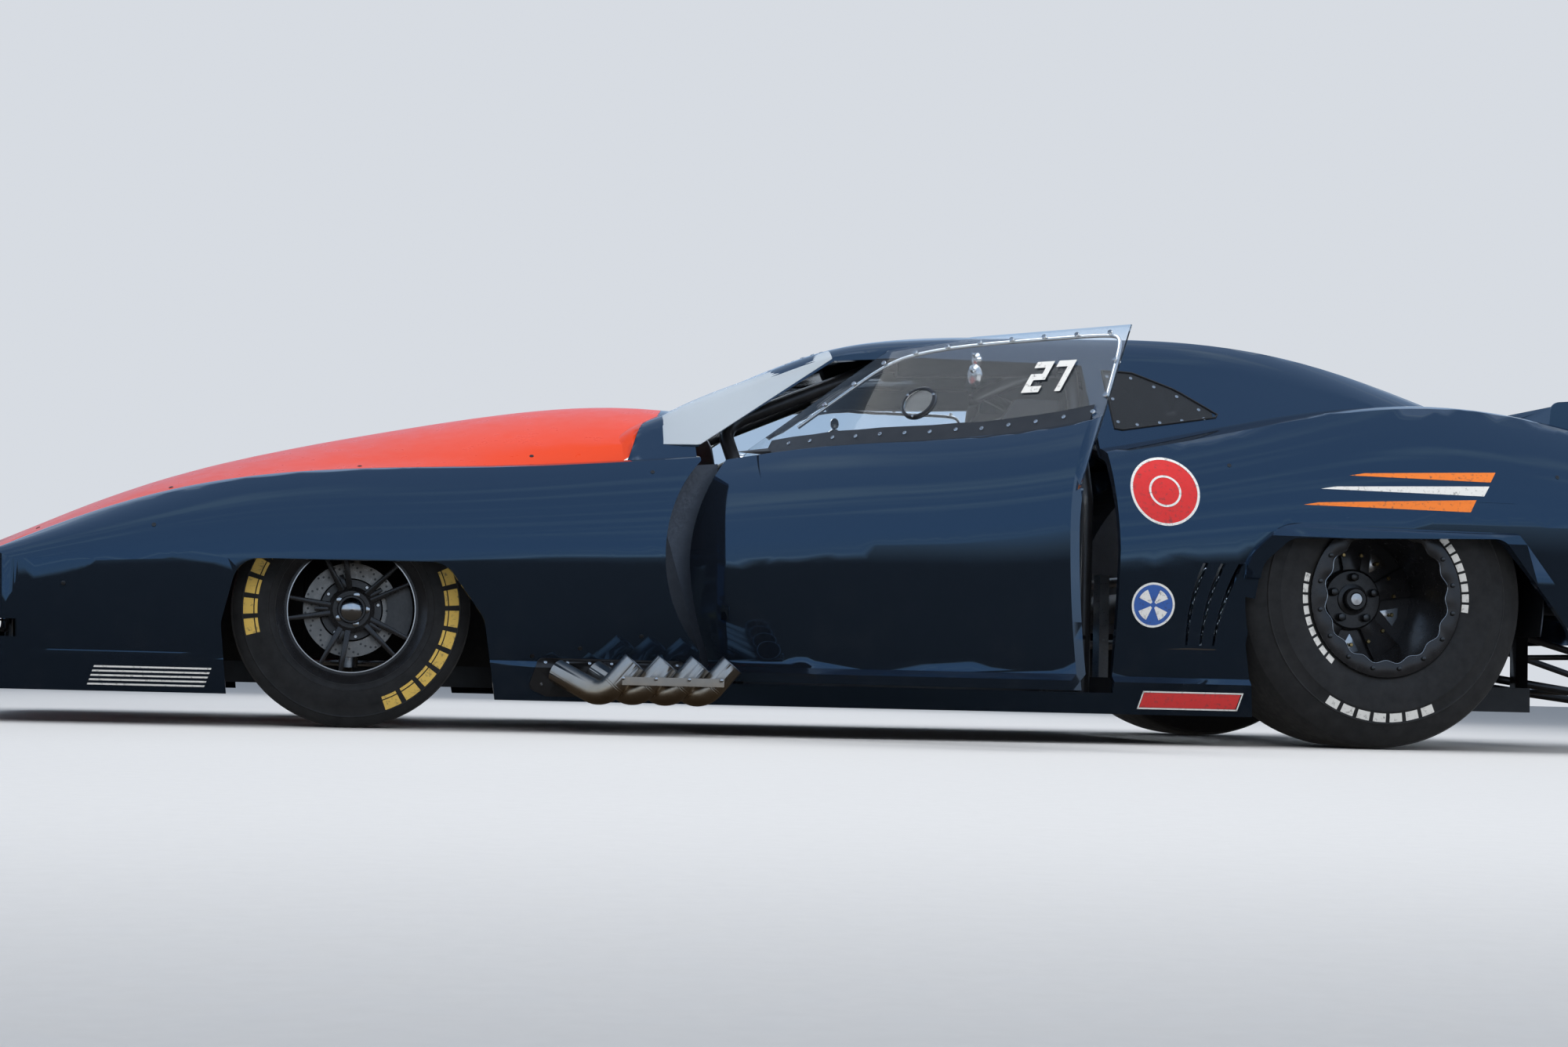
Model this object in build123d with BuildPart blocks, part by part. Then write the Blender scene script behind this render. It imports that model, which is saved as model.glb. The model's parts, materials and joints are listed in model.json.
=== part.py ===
from build123d import *

import os
from collections import namedtuple
from math import cos, radians, sin

os.makedirs("parts", exist_ok=True)

# X runs to the rear, Y to the car's right, Z up. The origin is on the ground, midway between the axles.

# Running gear
wheelbase = 2921
front_axle_x = -wheelbase / 2
rear_axle_x = wheelbase / 2

# Gaps
seat_gap = 0.3
panel_gap = 0.5
door_gap = 7
shaft_gap = 0.1
running_gap = 6

# Skin
wall = 22
door_depth = 45
glass = 5
sill_bottom_z = 84
tuck = 40
nose_x = -2530
nose_corner_x = -2370
tail_x = 2520
tail_corner_x = 2440
clip_rear_x = -531
hood_half = 700
hood_front_x = -2440
hood_rear_side_x = -716
hood_rear_x = -540
deck_front_x = 1880
deck_rear_x = 2460
deck_half = 600

# Doors: the left one stands open
hinge_x = -440
hinge_y = 880
door_front_x = clip_rear_x + 7
door_bow = 35
clip_corner_z = 230
clip_top_z = 752
clip_bow = 106
door_rear_x = 640
door_bottom_z = 150
door_open_angle = 48
sill_top_z = door_bottom_z - door_gap
sill_rear_x = door_rear_x + door_gap - 4

# Lower body, one row for each station: half widths and heights of its corners
Station = namedtuple(
    "Station", "x low_y ledge crease_y crease_z hip_y hip_z hood_y hood_z step_y step_z crown_z"
)
stations = [
    Station(-2560, 812, 1, 862, 352, 775, 372, 690, 380, 650, 387, 452),
    Station(-2230, 848, 1, 896, 412, 795, 512, 700, 522, 650, 532, 596),
    Station(-1800, 862, 1, 912, 438, 805, 645, 700, 657, 650, 670, 756),
    Station(-1200, 868, 2, 920, 458, 812, 705, 700, 716, 645, 740, 898),
    Station(-600, 874, 14, 926, 478, 820, 755, 700, 762, 640, 820, 968),
    Station(20, 878, 24, 930, 510, 824, 790, 700, 802, 650, 811, 862),
    Station(640, 884, 24, 932, 541, 832, 822, 700, 850, 650, 858, 905),
    Station(1180, 892, 4, 950, 622, 836, 936, 700, 958, 650, 964, 1004),
    Station(1540, 900, 1, 960, 646, 838, 990, 700, 1008, 650, 1014, 1050),
    Station(2060, 895, 1, 955, 652, 832, 950, 700, 978, 650, 987, 1040),
    Station(2600, 862, 1, 915, 628, 800, 905, 690, 930, 640, 938, 985),
]
low_z = 190
ledge_drop = 16
low_bulge = 10
side_bulge = 24
hip_bulge = 5

# Roof and windows: the same, from a base hidden in the lower body up to the roof's edge
Ring = namedtuple("Ring", "x base_y rail_y rail_z edge_y edge_z crown_z")
rings = [
    Ring(-790, 800, 640, 722, 560, 760, 800),
    Ring(-600, 840, 640, 872, 560, 900, 924),
    Ring(-340, 872, 632, 1000, 548, 1020, 1040),
    Ring(-80, 880, 618, 1094, 532, 1124, 1150),
    Ring(150, 880, 604, 1112, 522, 1160, 1203),
    Ring(640, 880, 596, 1120, 516, 1188, 1232),
    Ring(1000, 882, 598, 1112, 514, 1194, 1239),
    Ring(1320, 890, 616, 1064, 512, 1160, 1204),
    Ring(1640, 900, 650, 990, 512, 1078, 1116),
    Ring(1930, 900, 670, 900, 520, 985, 1020),
]
ring_base_z = 650
rail_bulge = 8

# Wheels
front_tyre_r = 317.5
front_tyre_w = 140
front_rim_r = 190.5
front_lip_r = 207.5
front_lip_y = 769
front_lip_w = 108
rear_tyre_r = 436
rear_tyre_w = 436
rear_rim_r = 203
rear_ring_r = 230
rear_ring_y = 900.5
rear_lip_w = 424
rear_recess = 240
disc_r = 128
disc_t = 8
spindle_r = 20
kingpin_y = 590
kingpin_r = 12

# Exhaust
pipe_r = 33
pipe_wall = 2.5
pipe_rise = 50
outlet_z = 194
outlet_y = 985
knee_z = 100
knee_y = 968
port_y = 872
port_z = 165
pipe_bend = 50
port_xs = [-915, -812, -724, -636]
outlet_xs = [-722, -634, -545, -458]
knee_back = (outlet_z - knee_z) * cos(radians(pipe_rise)) / sin(radians(pipe_rise))
pipe_runs = [
    [(port_x, -port_y, port_z), (outlet_x - knee_back, -knee_y, knee_z), (outlet_x, -outlet_y, outlet_z)]
    for port_x, outlet_x in zip(port_xs, outlet_xs)
]

# Nose
grille_w = 900
grille_h = 124
grille_corner = 40
grille_z = 305
lamp_y = 590
lamp_r = 70

# Frame under the skin
rail_y = 330
rail_w = 50
rail_h = 76
rail_bottom_z = 112
floor_t = 4
kick_y = 720
cage_r = 20.65
engine_x = -1230
engine_l = 690
engine_w = 560
engine_bottom_z = 180 + seat_gap
engine_h = 515
axle_r = 44
bracket_y = 280
bracket_t = 12
link_r = 14
coil_x = rear_axle_x + 100
coil_y = 312
coil_r = 34
coil_bar_z = 692
chute_y = 170
chute_z = 441
chute_bar_r = 16
pack_bottom_z = 465
seat_y = -330
tub_r = 492
tub_inner_y = 418


def tube(points, r, bend):
    """A round bar along straight runs with bends of one radius."""
    with BuildPart() as bar:
        with BuildLine() as path:
            if len(points) > 2:
                FilletPolyline(*points, radius=bend)
            else:
                Line(*points)
        with BuildSketch(Plane(origin=path.line @ 0, z_dir=path.line % 0)):
            Circle(r)
        sweep()
    return bar.part


def across(x, y, z, r, length):
    """A rod along Y from y outwards."""
    with BuildPart() as rod:
        with BuildSketch(Plane(origin=(x, y, z), x_dir=(1, 0, 0), z_dir=(0, 1, 0))):
            Circle(r)
        extrude(amount=length)
    return rod.part


def bulged(start, end, bulge):
    """An edge from start to end that stands out by bulge, to the right of its run."""
    run = Vector(*end) - Vector(*start)
    out = Vector(run.Y, -run.X).normalized() * bulge
    mid = (Vector(*start) + Vector(*end)) * 0.5 + out
    if bulge:
        ThreePointArc(start, mid, end)
    else:
        Line(start, end)


def ring_of_edges(half, bulges, crown_z):
    """A closed section from the right half's corners, bottom first, with an arc over the top."""
    mirrored = [(-y, z) for y, z in half]
    Line(mirrored[0], half[0])
    for start, end, bulge in zip(half, half[1:], bulges):
        bulged(start, end, bulge)
    ThreePointArc(half[-1], (0, crown_z), mirrored[-1])
    for start, end, bulge in reversed(list(zip(mirrored[1:], mirrored, bulges))):
        bulged(start, end, bulge)


def end_trim(inset):
    """The car's outline from above, with its bowed nose and tail."""
    with BuildPart() as trim:
        with BuildSketch(Plane.XY):
            with BuildLine():
                nose = (nose_corner_x + inset, 880 - inset)
                tail = (tail_corner_x - inset, 905 - inset)
                side = 1000
                Line((-1800, side), (-1800, 930 - inset))
                Line((-1800, 930 - inset), nose)
                ThreePointArc(nose, (nose_x + inset, 0), (nose[0], -nose[1]))
                Line((nose[0], -nose[1]), (-1800, inset - 930))
                Line((-1800, inset - 930), (-1800, -side))
                Line((-1800, -side), (2000, -side))
                Line((2000, -side), (2000, inset - 960))
                Line((2000, inset - 960), (tail[0], -tail[1]))
                ThreePointArc((tail[0], -tail[1]), (tail_x - inset, 0), tail)
                Line(tail, (2000, 960 - inset))
                Line((2000, 960 - inset), (2000, side))
                Line((2000, side), (-1800, side))
            make_face()
            corners = vertices().filter_by(
                lambda v: abs(v.X - nose[0]) < 1 or abs(v.X - tail[0]) < 1
            )
            fillet(corners, 90)
        extrude(amount=1300)
        with BuildSketch(Plane.XZ) as profile:
            with BuildLine():
                Polyline(
                    (nose_x + 90 + inset, -50),
                    (nose_x + inset, 200),
                    (nose_x + inset, 350),
                    (nose_x + 130 + inset, 520),
                    (-2200, 1300),
                    (2300, 1300),
                    (tail_x + 20 - inset, 960),
                    (tail_x - 40 - inset, -50),
                    close=True,
                )
            make_face()
            fillet(profile.vertices().sort_by(Axis.X)[0:2], 60)
        extrude(amount=1000, both=True, mode=Mode.INTERSECT)
    return trim.part


def body_loft(inset):
    """The lower body before its ends are trimmed, or its inside at a depth of inset, open below."""
    with BuildPart() as body:
        for row in stations:
            bottom_z = sill_bottom_z - (60 if inset > 0 else 0)
            half = [
                (row.low_y + row.ledge - tuck - inset, bottom_z),
                (row.low_y + row.ledge - inset, low_z - ledge_drop),
                (row.low_y - inset, low_z),
                (row.crease_y - inset, row.crease_z),
                (row.hip_y - inset, row.hip_z - inset),
                (row.hood_y - inset, row.hood_z - inset),
                (row.step_y - inset, row.step_z - inset),
            ]
            bulges = [0, 0, low_bulge, side_bulge, hip_bulge, 0]
            with BuildSketch(Plane.YZ.offset(row.x)):
                with BuildLine():
                    ring_of_edges(half, bulges, row.crown_z - inset)
                make_face()
        loft()
    return body.part


def lower_body(inset):
    """The lower body with its bowed nose and tail."""
    with BuildPart() as body:
        add(body_loft(inset))
        add(end_trim(inset), mode=Mode.INTERSECT)
    return body.part


def greenhouse(inset):
    """Roof, pillars and windows as one form, or its inside at a depth of inset."""
    with BuildPart() as house:
        for row in rings:
            half = [
                (row.base_y - inset, ring_base_z),
                (row.rail_y - inset, row.rail_z - inset),
                (row.edge_y - inset, row.edge_z - inset),
            ]
            with BuildSketch(Plane.YZ.offset(row.x + (inset if row is rings[0] else 0))):
                with BuildLine():
                    ring_of_edges(half, [0, rail_bulge], row.crown_z - inset)
                make_face()
        loft()
    return house.part


body_outer = lower_body(0)
body_inner = lower_body(wall)
house_outer = greenhouse(0)
house_inner = greenhouse(wall)
house_glass = greenhouse(glass)

with BuildPart() as skin:
    add([body_outer, house_outer])
    add([body_inner, house_inner], mode=Mode.SUBTRACT)

with BuildPart() as window_skin:
    add(house_outer)
    add(house_glass, mode=Mode.SUBTRACT)


def door_prism(grow):
    """The left door and its window as a block through the skin, with grow added all round."""
    with BuildPart() as prism:
        with BuildSketch(Plane.XZ.offset(560)):
            with BuildLine():
                Line((door_front_x, door_bottom_z), (door_front_x, clip_corner_z))
                ThreePointArc(
                    (door_front_x, clip_corner_z),
                    (door_front_x - door_bow, 480),
                    (door_front_x + 10, 800),
                )
                Polyline(
                    (door_front_x + 10, 800),
                    (-118, 1066),
                    (150, 1090),
                    (622, 1094),
                    (door_rear_x, 545),
                    (door_rear_x - 4, door_bottom_z),
                    (door_front_x, door_bottom_z),
                )
            make_face()
            if grow:
                offset(amount=grow, kind=Kind.INTERSECTION)
        extrude(amount=440)
    return prism.part


door_opening = door_prism(door_gap)


def quarter_prism(shrink):
    """The left quarter window as a block through the skin."""
    with BuildPart() as prism:
        with BuildSketch(Plane.XZ.offset(560)) as shape:
            with BuildLine():
                Polyline((690, 1084), (775, 1082), (900, 1035), (1026, 956), (696, 900), close=True)
            make_face()
            fillet(shape.vertices(), 12)
            offset(amount=-shrink)
        extrude(amount=300)
    return prism.part


def windscreen_prism(shrink):
    """The windscreen's outline from above."""
    with BuildPart() as prism:
        with BuildSketch(Plane.XY.offset(700)):
            with BuildLine():
                ThreePointArc((-584, -572), (-500, 0), (-584, 572))
                Line((-584, 572), (-100, 506))
                ThreePointArc((-100, 506), (-116, 0), (-100, -506))
                Line((-100, -506), (-584, -572))
            make_face()
            offset(amount=-shrink)
        extrude(amount=600)
    return prism.part


def rear_window_prism(shrink):
    """The rear window's outline from above."""
    with BuildPart() as prism:
        with BuildSketch(Plane.XY.offset(900)) as shape:
            with BuildLine():
                Polyline((1225, -470), (1225, 470), (1690, 500), (1690, -500), close=True)
            make_face()
            fillet(shape.vertices(), 50)
            offset(amount=-shrink)
        extrude(amount=400)
    return prism.part


with BuildPart() as front_arch:
    with BuildSketch(Plane.XZ.offset(700)) as front_arch_shape:
        with BuildLine():
            Polyline(
                (front_axle_x - 316, 40),
                (front_axle_x - 340, 270),
                (front_axle_x - 300, 440),
                (front_axle_x + 236, 446),
                (front_axle_x + 345, 300),
                (front_axle_x + 392, 40),
                close=True,
            )
        make_face()
        fillet(front_arch_shape.vertices().group_by(Axis.Y)[1:], 70)
    extrude(amount=300)


def rear_arch_prism(grow):
    """The rear wheel opening as a block through the skin, with grow added all round."""
    with BuildPart() as prism:
        with BuildSketch(Plane.XZ.offset(700)) as shape:
            with BuildLine():
                Polyline(
                    (rear_axle_x - 378, 40),
                    (rear_axle_x - 432, 290),
                    (rear_axle_x - 398, 520),
                    (rear_axle_x - 320, 592),
                    (rear_axle_x + 330, 612),
                    (rear_axle_x + 560, 352),
                    (rear_axle_x + 560, 40),
                    close=True,
                )
            make_face()
            fillet(shape.vertices().group_by(Axis.Y)[1:], 60)
            if grow:
                offset(amount=grow, kind=Kind.INTERSECTION)
        extrude(amount=300)
    return prism.part


rear_arch = rear_arch_prism(0)

with BuildPart() as clip_region:
    with BuildSketch(Plane.XZ):
        with BuildLine():
            Line((-2700, 0), (clip_rear_x, 0))
            Line((clip_rear_x, 0), (clip_rear_x, clip_corner_z))
            ThreePointArc(
                (clip_rear_x, clip_corner_z),
                (clip_rear_x - clip_bow, (clip_corner_z + clip_top_z) / 2),
                (clip_rear_x, clip_top_z),
            )
            Line((clip_rear_x, clip_top_z), (clip_rear_x, 1300))
            Line((clip_rear_x, 1300), (-2700, 1300))
            Line((-2700, 1300), (-2700, 0))
        make_face()
    extrude(amount=1100, both=True)


def hood_outline(shrink):
    """The hood's outline from above."""
    with BuildPart() as outline:
        with BuildSketch(Plane.XY.offset(300)):
            with BuildLine():
                half = hood_half - shrink
                front = hood_front_x + shrink
                rear = hood_rear_side_x - shrink
                Line((front + 60, half), (rear, half))
                ThreePointArc((rear, half), (hood_rear_x - shrink, 0), (rear, -half))
                Line((rear, -half), (front + 60, -half))
                ThreePointArc((front + 60, -half), (front, 0), (front + 60, half))
            make_face()
        extrude(amount=900)
    return outline.part


hood_cut = hood_outline(0)

cowl_strip_half = 560
with BuildPart() as cowl_region:
    with BuildSketch(Plane.XY.offset(500)):
        with BuildLine():
            Polyline(
                (-800, -hood_half),
                (-800, hood_half),
                (clip_rear_x, hood_half),
                (clip_rear_x, cowl_strip_half),
                (-480, cowl_strip_half),
                (-480, -cowl_strip_half),
                (clip_rear_x, -cowl_strip_half),
                (clip_rear_x, -hood_half),
                close=True,
            )
        make_face()
    extrude(amount=700)

# Body panels
with BuildPart() as hood:
    add(skin.part)
    add(hood_outline(panel_gap), mode=Mode.INTERSECT)
hood.part.label = "hood"

with BuildPart() as cowl_panel:
    add(skin.part)
    add(cowl_region.part, mode=Mode.INTERSECT)
    add([hood_cut, windscreen_prism(0)], mode=Mode.SUBTRACT)
cowl_panel.part.label = "cowl_panel"

with BuildPart() as pipe_holes:
    for run in pipe_runs:
        add(tube(run, pipe_r + seat_gap, pipe_bend))
    mirror(about=Plane.XZ)

with BuildPart() as front_clip:
    add(skin.part)
    add(clip_region.part, mode=Mode.INTERSECT)
    openings = [
        hood_cut,
        cowl_region.part,
        front_arch.part,
        front_arch.part.mirror(Plane.XZ),
        pipe_holes.part,
    ]
    add(openings, mode=Mode.SUBTRACT)
    with BuildSketch(Plane.YZ.offset(nose_x - 50)):
        with Locations((0, grille_z)):
            RectangleRounded(grille_w, grille_h, grille_corner)
        with Locations((lamp_y, grille_z), (-lamp_y, grille_z)):
            Circle(lamp_r)
    extrude(amount=260, mode=Mode.SUBTRACT)
    for y in (820, -820):
        with Locations((nose_corner_x - 30, y, 243)):
            Box(170, 300, 46, mode=Mode.SUBTRACT)
front_clip.part.label = "front_clip"


def deck_prism(shrink):
    """The deck lid's outline from above."""
    with BuildPart() as prism:
        with BuildSketch(Plane.XY.offset(880)):
            with Locations(((deck_front_x + deck_rear_x) / 2, 0)):
                RectangleRounded(
                    deck_rear_x - deck_front_x - 2 * shrink, 2 * deck_half - 2 * shrink, 60
                )
        extrude(amount=300)
    return prism.part


def sill_prism(shrink):
    """The block below the doors that the sills are cut from."""
    with BuildPart() as prism:
        with BuildSketch(Plane.XZ):
            with BuildLine():
                Polyline(
                    (clip_rear_x + shrink, 0),
                    (clip_rear_x + shrink, sill_top_z),
                    (sill_rear_x - shrink, sill_top_z),
                    (sill_rear_x - shrink, 0),
                    close=True,
                )
            make_face()
        extrude(amount=1000, both=True)
    return prism.part


def tail_prism(shrink):
    """The tail panel's outline from behind."""
    with BuildPart() as prism:
        with BuildSketch(Plane.YZ.offset(2380)):
            with Locations((0, 650)):
                RectangleRounded(1500 - 2 * shrink, 330 - 2 * shrink, 40 - shrink)
        extrude(amount=300)
    return prism.part


with BuildPart() as deck_lid:
    add(skin.part)
    add(deck_prism(panel_gap), mode=Mode.INTERSECT)
deck_lid.part.label = "deck_lid"

with BuildPart() as sills:
    add(skin.part)
    add(sill_prism(panel_gap), mode=Mode.INTERSECT)
sills.part.label = "sills"

with BuildPart() as tail_panel:
    add(skin.part)
    add(tail_prism(panel_gap), mode=Mode.INTERSECT)
    with BuildSketch(Plane.YZ.offset(2380)):
        with Locations((-560, 690), (-300, 690), (300, 690), (560, 690)):
            RectangleRounded(230, 90, 15)
    extrude(amount=300, mode=Mode.SUBTRACT)
tail_panel.part.label = "tail_panel"

lamp_back = lower_body(wall - 4)
with BuildPart() as tail_lamps:
    with BuildSketch(Plane.YZ.offset(2380)):
        with Locations((-560, 690), (-300, 690), (300, 690), (560, 690)):
            RectangleRounded(230 - 2 * seat_gap, 90 - 2 * seat_gap, 15 - seat_gap)
    extrude(amount=300)
    add(body_outer, mode=Mode.INTERSECT)
    add(lamp_back, mode=Mode.SUBTRACT)
tail_lamps.part.label = "tail_lamps"

with BuildPart() as tail_lower_edge:
    with BuildSketch(Plane.XZ):
        with Locations((2360, 166)):
            Rectangle(700, 332)
    extrude(amount=1000, both=True)

with BuildPart() as inner_clearances:
    with Locations((clip_rear_x - 60, 0, 395)):
        Box(140, 2200, 810)
    for y in (chute_y, -chute_y):
        add(tube([(2300, y, chute_z), (2700, y, chute_z)], chute_bar_r + seat_gap, 0))
    for y in (400, -930):
        add(across(rear_axle_x, y, rear_tyre_r, rear_tyre_r + running_gap, 530))

# The lip over the rear wheel, and the three slots behind the door
lip_w = 44
with BuildPart() as arch_lips:
    with BuildSketch(Plane.YZ.offset(1000)):
        with BuildLine():
            Polyline((-915, 468), (-948, 478), (-968, 598), (-968, 624), (-915, 664), close=True)
        make_face()
    extrude(amount=1250)
    add(rear_arch_prism(lip_w), mode=Mode.INTERSECT)
    add([rear_arch, inner_clearances.part], mode=Mode.SUBTRACT)
    mirror(about=Plane.XZ)

Slot = namedtuple("Slot", "top_x bottom_x")
slots = [Slot(889, 851), Slot(941, 893), Slot(994, 930)]
slot_top_z = 515
slot_bottom_z = 282
slot_bow = 14
with BuildPart() as quarter_slots:
    with BuildSketch(Plane.XZ.offset(800)):
        for slot in slots:
            mid_x = (slot.top_x + slot.bottom_x) / 2 - slot_bow
            mid_z = (slot_top_z + slot_bottom_z) / 2
            with BuildLine():
                ThreePointArc((slot.top_x, slot_top_z), (mid_x, mid_z), (slot.bottom_x, slot_bottom_z))
                Line((slot.bottom_x, slot_bottom_z), (slot.bottom_x + 6, slot_bottom_z))
                ThreePointArc(
                    (slot.bottom_x + 6, slot_bottom_z), (mid_x + 12, mid_z), (slot.top_x + 16, slot_top_z)
                )
                Line((slot.top_x + 16, slot_top_z), (slot.top_x, slot_top_z))
            make_face()
    extrude(amount=200)
    mirror(about=Plane.XZ)

shell_openings = [
    clip_region.part,
    cowl_region.part,
    tail_lower_edge.part,
    sill_prism(0),
    tail_prism(0),
    deck_prism(0),
    door_opening,
    door_opening.mirror(Plane.XZ),
    windscreen_prism(0),
    rear_window_prism(0),
    rear_arch,
    rear_arch.mirror(Plane.XZ),
    inner_clearances.part,
    quarter_prism(0),
    quarter_prism(0).mirror(Plane.XZ),
    quarter_slots.part,
]
with BuildPart() as body_shell:
    add(skin.part)
    for opening in shell_openings:
        add(opening, mode=Mode.SUBTRACT)
    add(arch_lips.part)
body_shell.part.label = "body_shell"

# Doors, modelled shut on the left side
with BuildPart() as shut_door:
    add(door_prism(0))
    add(body_outer, mode=Mode.INTERSECT)
    add(body_loft(door_depth), mode=Mode.SUBTRACT)
    add(greenhouse(-seat_gap), mode=Mode.SUBTRACT)

with BuildPart() as shut_window:
    add(window_skin.part)
    add(door_prism(0), mode=Mode.INTERSECT)
    with Locations((0, 0, 0)):
        Box(3000, 3000, 2 * 775, mode=Mode.SUBTRACT)

hinge_left = Axis((hinge_x, -hinge_y, 0), (0, 0, 1))
pin_r = 8
barrel_r = 16
barrel_half = 32
ear_t = 10
hinge_zs = [345, 545]

with BuildPart() as door:
    add(shut_door.part)
    for z in hinge_zs:
        with Locations((hinge_x, -hinge_y, z)):
            Cylinder(barrel_r + running_gap, 2 * (barrel_half + ear_t + running_gap), mode=Mode.SUBTRACT)
        with Locations((hinge_x, -hinge_y + 40, z)):
            Box(170, 80, 2 * (barrel_half + ear_t + running_gap), mode=Mode.SUBTRACT)
        with Locations((hinge_x, -hinge_y, z)):
            Cylinder(barrel_r, 2 * barrel_half)
            Cylinder(pin_r + shaft_gap, 2 * barrel_half, mode=Mode.SUBTRACT)
        with Locations((hinge_x, -hinge_y - 20, z)):
            Box(2 * barrel_r - 4, 30, 2 * barrel_half - 4)
        with Locations((hinge_x, -hinge_y, z)):
            Cylinder(pin_r + shaft_gap, 2 * barrel_half, mode=Mode.SUBTRACT)

with BuildPart() as door_left:
    add(door.part.rotate(hinge_left, -door_open_angle))
door_left.part.label = "door_left"

with BuildPart() as door_right:
    add(door.part.mirror(Plane.XZ))
door_right.part.label = "door_right"

with BuildPart() as door_window_left:
    add(shut_window.part.rotate(hinge_left, -door_open_angle))
door_window_left.part.label = "door_window_left"

with BuildPart() as door_window_right:
    add(shut_window.part.mirror(Plane.XZ))
door_window_right.part.label = "door_window_right"

# Fixed windows
with BuildPart() as windscreen:
    add(window_skin.part)
    add(windscreen_prism(seat_gap), mode=Mode.INTERSECT)
    add(body_outer, mode=Mode.SUBTRACT)
windscreen.part.label = "windscreen"

with BuildPart() as rear_window:
    add(window_skin.part)
    add(rear_window_prism(seat_gap), mode=Mode.INTERSECT)
rear_window.part.label = "rear_window"

with BuildPart() as quarter_windows:
    add(window_skin.part)
    add(quarter_prism(seat_gap), mode=Mode.INTERSECT)
    mirror(about=Plane.XZ)
quarter_windows.part.label = "quarter_windows"

# Wheels, modelled on the right side about an axle along Y
def wheel_plane(x, z):
    """Sketch plane with radius first and Y second, through a wheel's axle."""
    return Plane(origin=(x, 0, z), x_dir=(1, 0, 0), z_dir=(0, 0, 1))


def spun(x, z, points, arcs=()):
    """A ring about an axle from its half section; each of arcs is (index, through point)."""
    through = dict(arcs)
    with BuildPart() as ring:
        with BuildSketch(wheel_plane(x, z)):
            with BuildLine():
                closed = points + points[:1]
                for index, (start, end) in enumerate(zip(closed, closed[1:])):
                    if index in through:
                        ThreePointArc(start, through[index], end)
                    else:
                        Line(start, end)
            make_face()
        revolve(axis=Axis((x, 0, z), (0, 1, 0)))
    return ring.part


def left_and_right(half_points):
    """The same run of points on each side of the car."""
    return [half_points, [(x, -y, z) for x, y, z in half_points]]


front_z = front_tyre_r
rear_z = rear_tyre_r
front_lip_in = front_lip_y - front_lip_w
front_mid = front_lip_y - front_lip_w / 2
rear_lip_in = rear_ring_y - rear_lip_w
rear_mid = rear_ring_y - rear_lip_w / 2
hub_y = front_lip_y - 25
spoke_end = front_rim_r - 9.5
face_t = 22
disc_y = 664
hat_r = 86

front_rim_section = [
    (front_rim_r - 9, front_lip_in),
    (front_lip_r, front_lip_in),
    (front_lip_r, front_lip_in + 6),
    (front_rim_r, front_lip_in + 12),
    (front_rim_r, front_lip_y - 12),
    (front_lip_r, front_lip_y - 6),
    (front_lip_r, front_lip_y),
    (front_lip_r - 9, front_lip_y),
    (front_rim_r - 9, front_lip_y - 14),
]

with BuildPart() as front_rim:
    add(spun(front_axle_x, front_z, front_rim_section))
    add(spun(front_axle_x, front_z, [(spindle_r + shaft_gap, hub_y - 60), (hat_r - 20, hub_y - 60),
                                     (hat_r - 20, hub_y - 4), (62, hub_y), (spindle_r + shaft_gap, hub_y)]))
    spoke_plane = Plane(origin=(front_axle_x, hub_y, front_z), x_dir=(1, 0, 0), z_dir=(0, 1, 0))
    with BuildSketch(spoke_plane):
        with PolarLocations(0, 5, start_angle=36):
            with BuildLine():
                Polyline((45, -20), (45, 20), (110, 16), (spoke_end, 44), (spoke_end, 26),
                         (128, 0), (spoke_end, -26), (spoke_end, -44), (110, -16), close=True)
            make_face()
    extrude(amount=-face_t)
    add(spun(front_axle_x, front_z, [(hat_r - 24, disc_y), (disc_r, disc_y), (disc_r, disc_y + disc_t),
                                     (hat_r, disc_y + disc_t), (hat_r, disc_y + disc_t + 12),
                                     (hat_r - 24, disc_y + disc_t + 12)]))
    add(across(front_axle_x, hub_y - 6, front_z, 39, 12))

with BuildPart() as front_tyre:
    half_w = front_tyre_w / 2
    add(spun(front_axle_x, front_z, [
        (front_rim_r + seat_gap, front_lip_in + 12.8),
        (front_lip_r + seat_gap, front_lip_in + 6.8),
        (front_tyre_r - 17, front_mid - half_w + 6),
        (front_tyre_r, front_mid - 50),
        (front_tyre_r, front_mid + 50),
        (front_tyre_r - 17, front_mid + half_w - 6),
        (front_lip_r + seat_gap, front_lip_y - 6.8),
        (front_rim_r + seat_gap, front_lip_y - 12.8),
    ], [(1, (front_tyre_r - 60, front_mid - half_w)), (2, (front_tyre_r - 4, front_mid - half_w + 14)),
        (4, (front_tyre_r - 4, front_mid + half_w - 14)), (5, (front_tyre_r - 60, front_mid + half_w))]))

rear_rim_section = [
    (rear_rim_r - 9, rear_lip_in),
    (rear_rim_r + 18, rear_lip_in),
    (rear_rim_r + 18, rear_lip_in + 7),
    (rear_rim_r, rear_lip_in + 14),
    (rear_rim_r, rear_ring_y - 26),
    (rear_ring_r, rear_ring_y - 14),
    (rear_ring_r, rear_ring_y - 3),
    (rear_ring_r - 4, rear_ring_y),
    (rear_rim_r - 14, rear_ring_y),
    (rear_rim_r - 14, rear_ring_y - 8),
    (rear_rim_r - 9, rear_ring_y - 12),
]
centre_y = rear_ring_y - rear_recess

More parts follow.
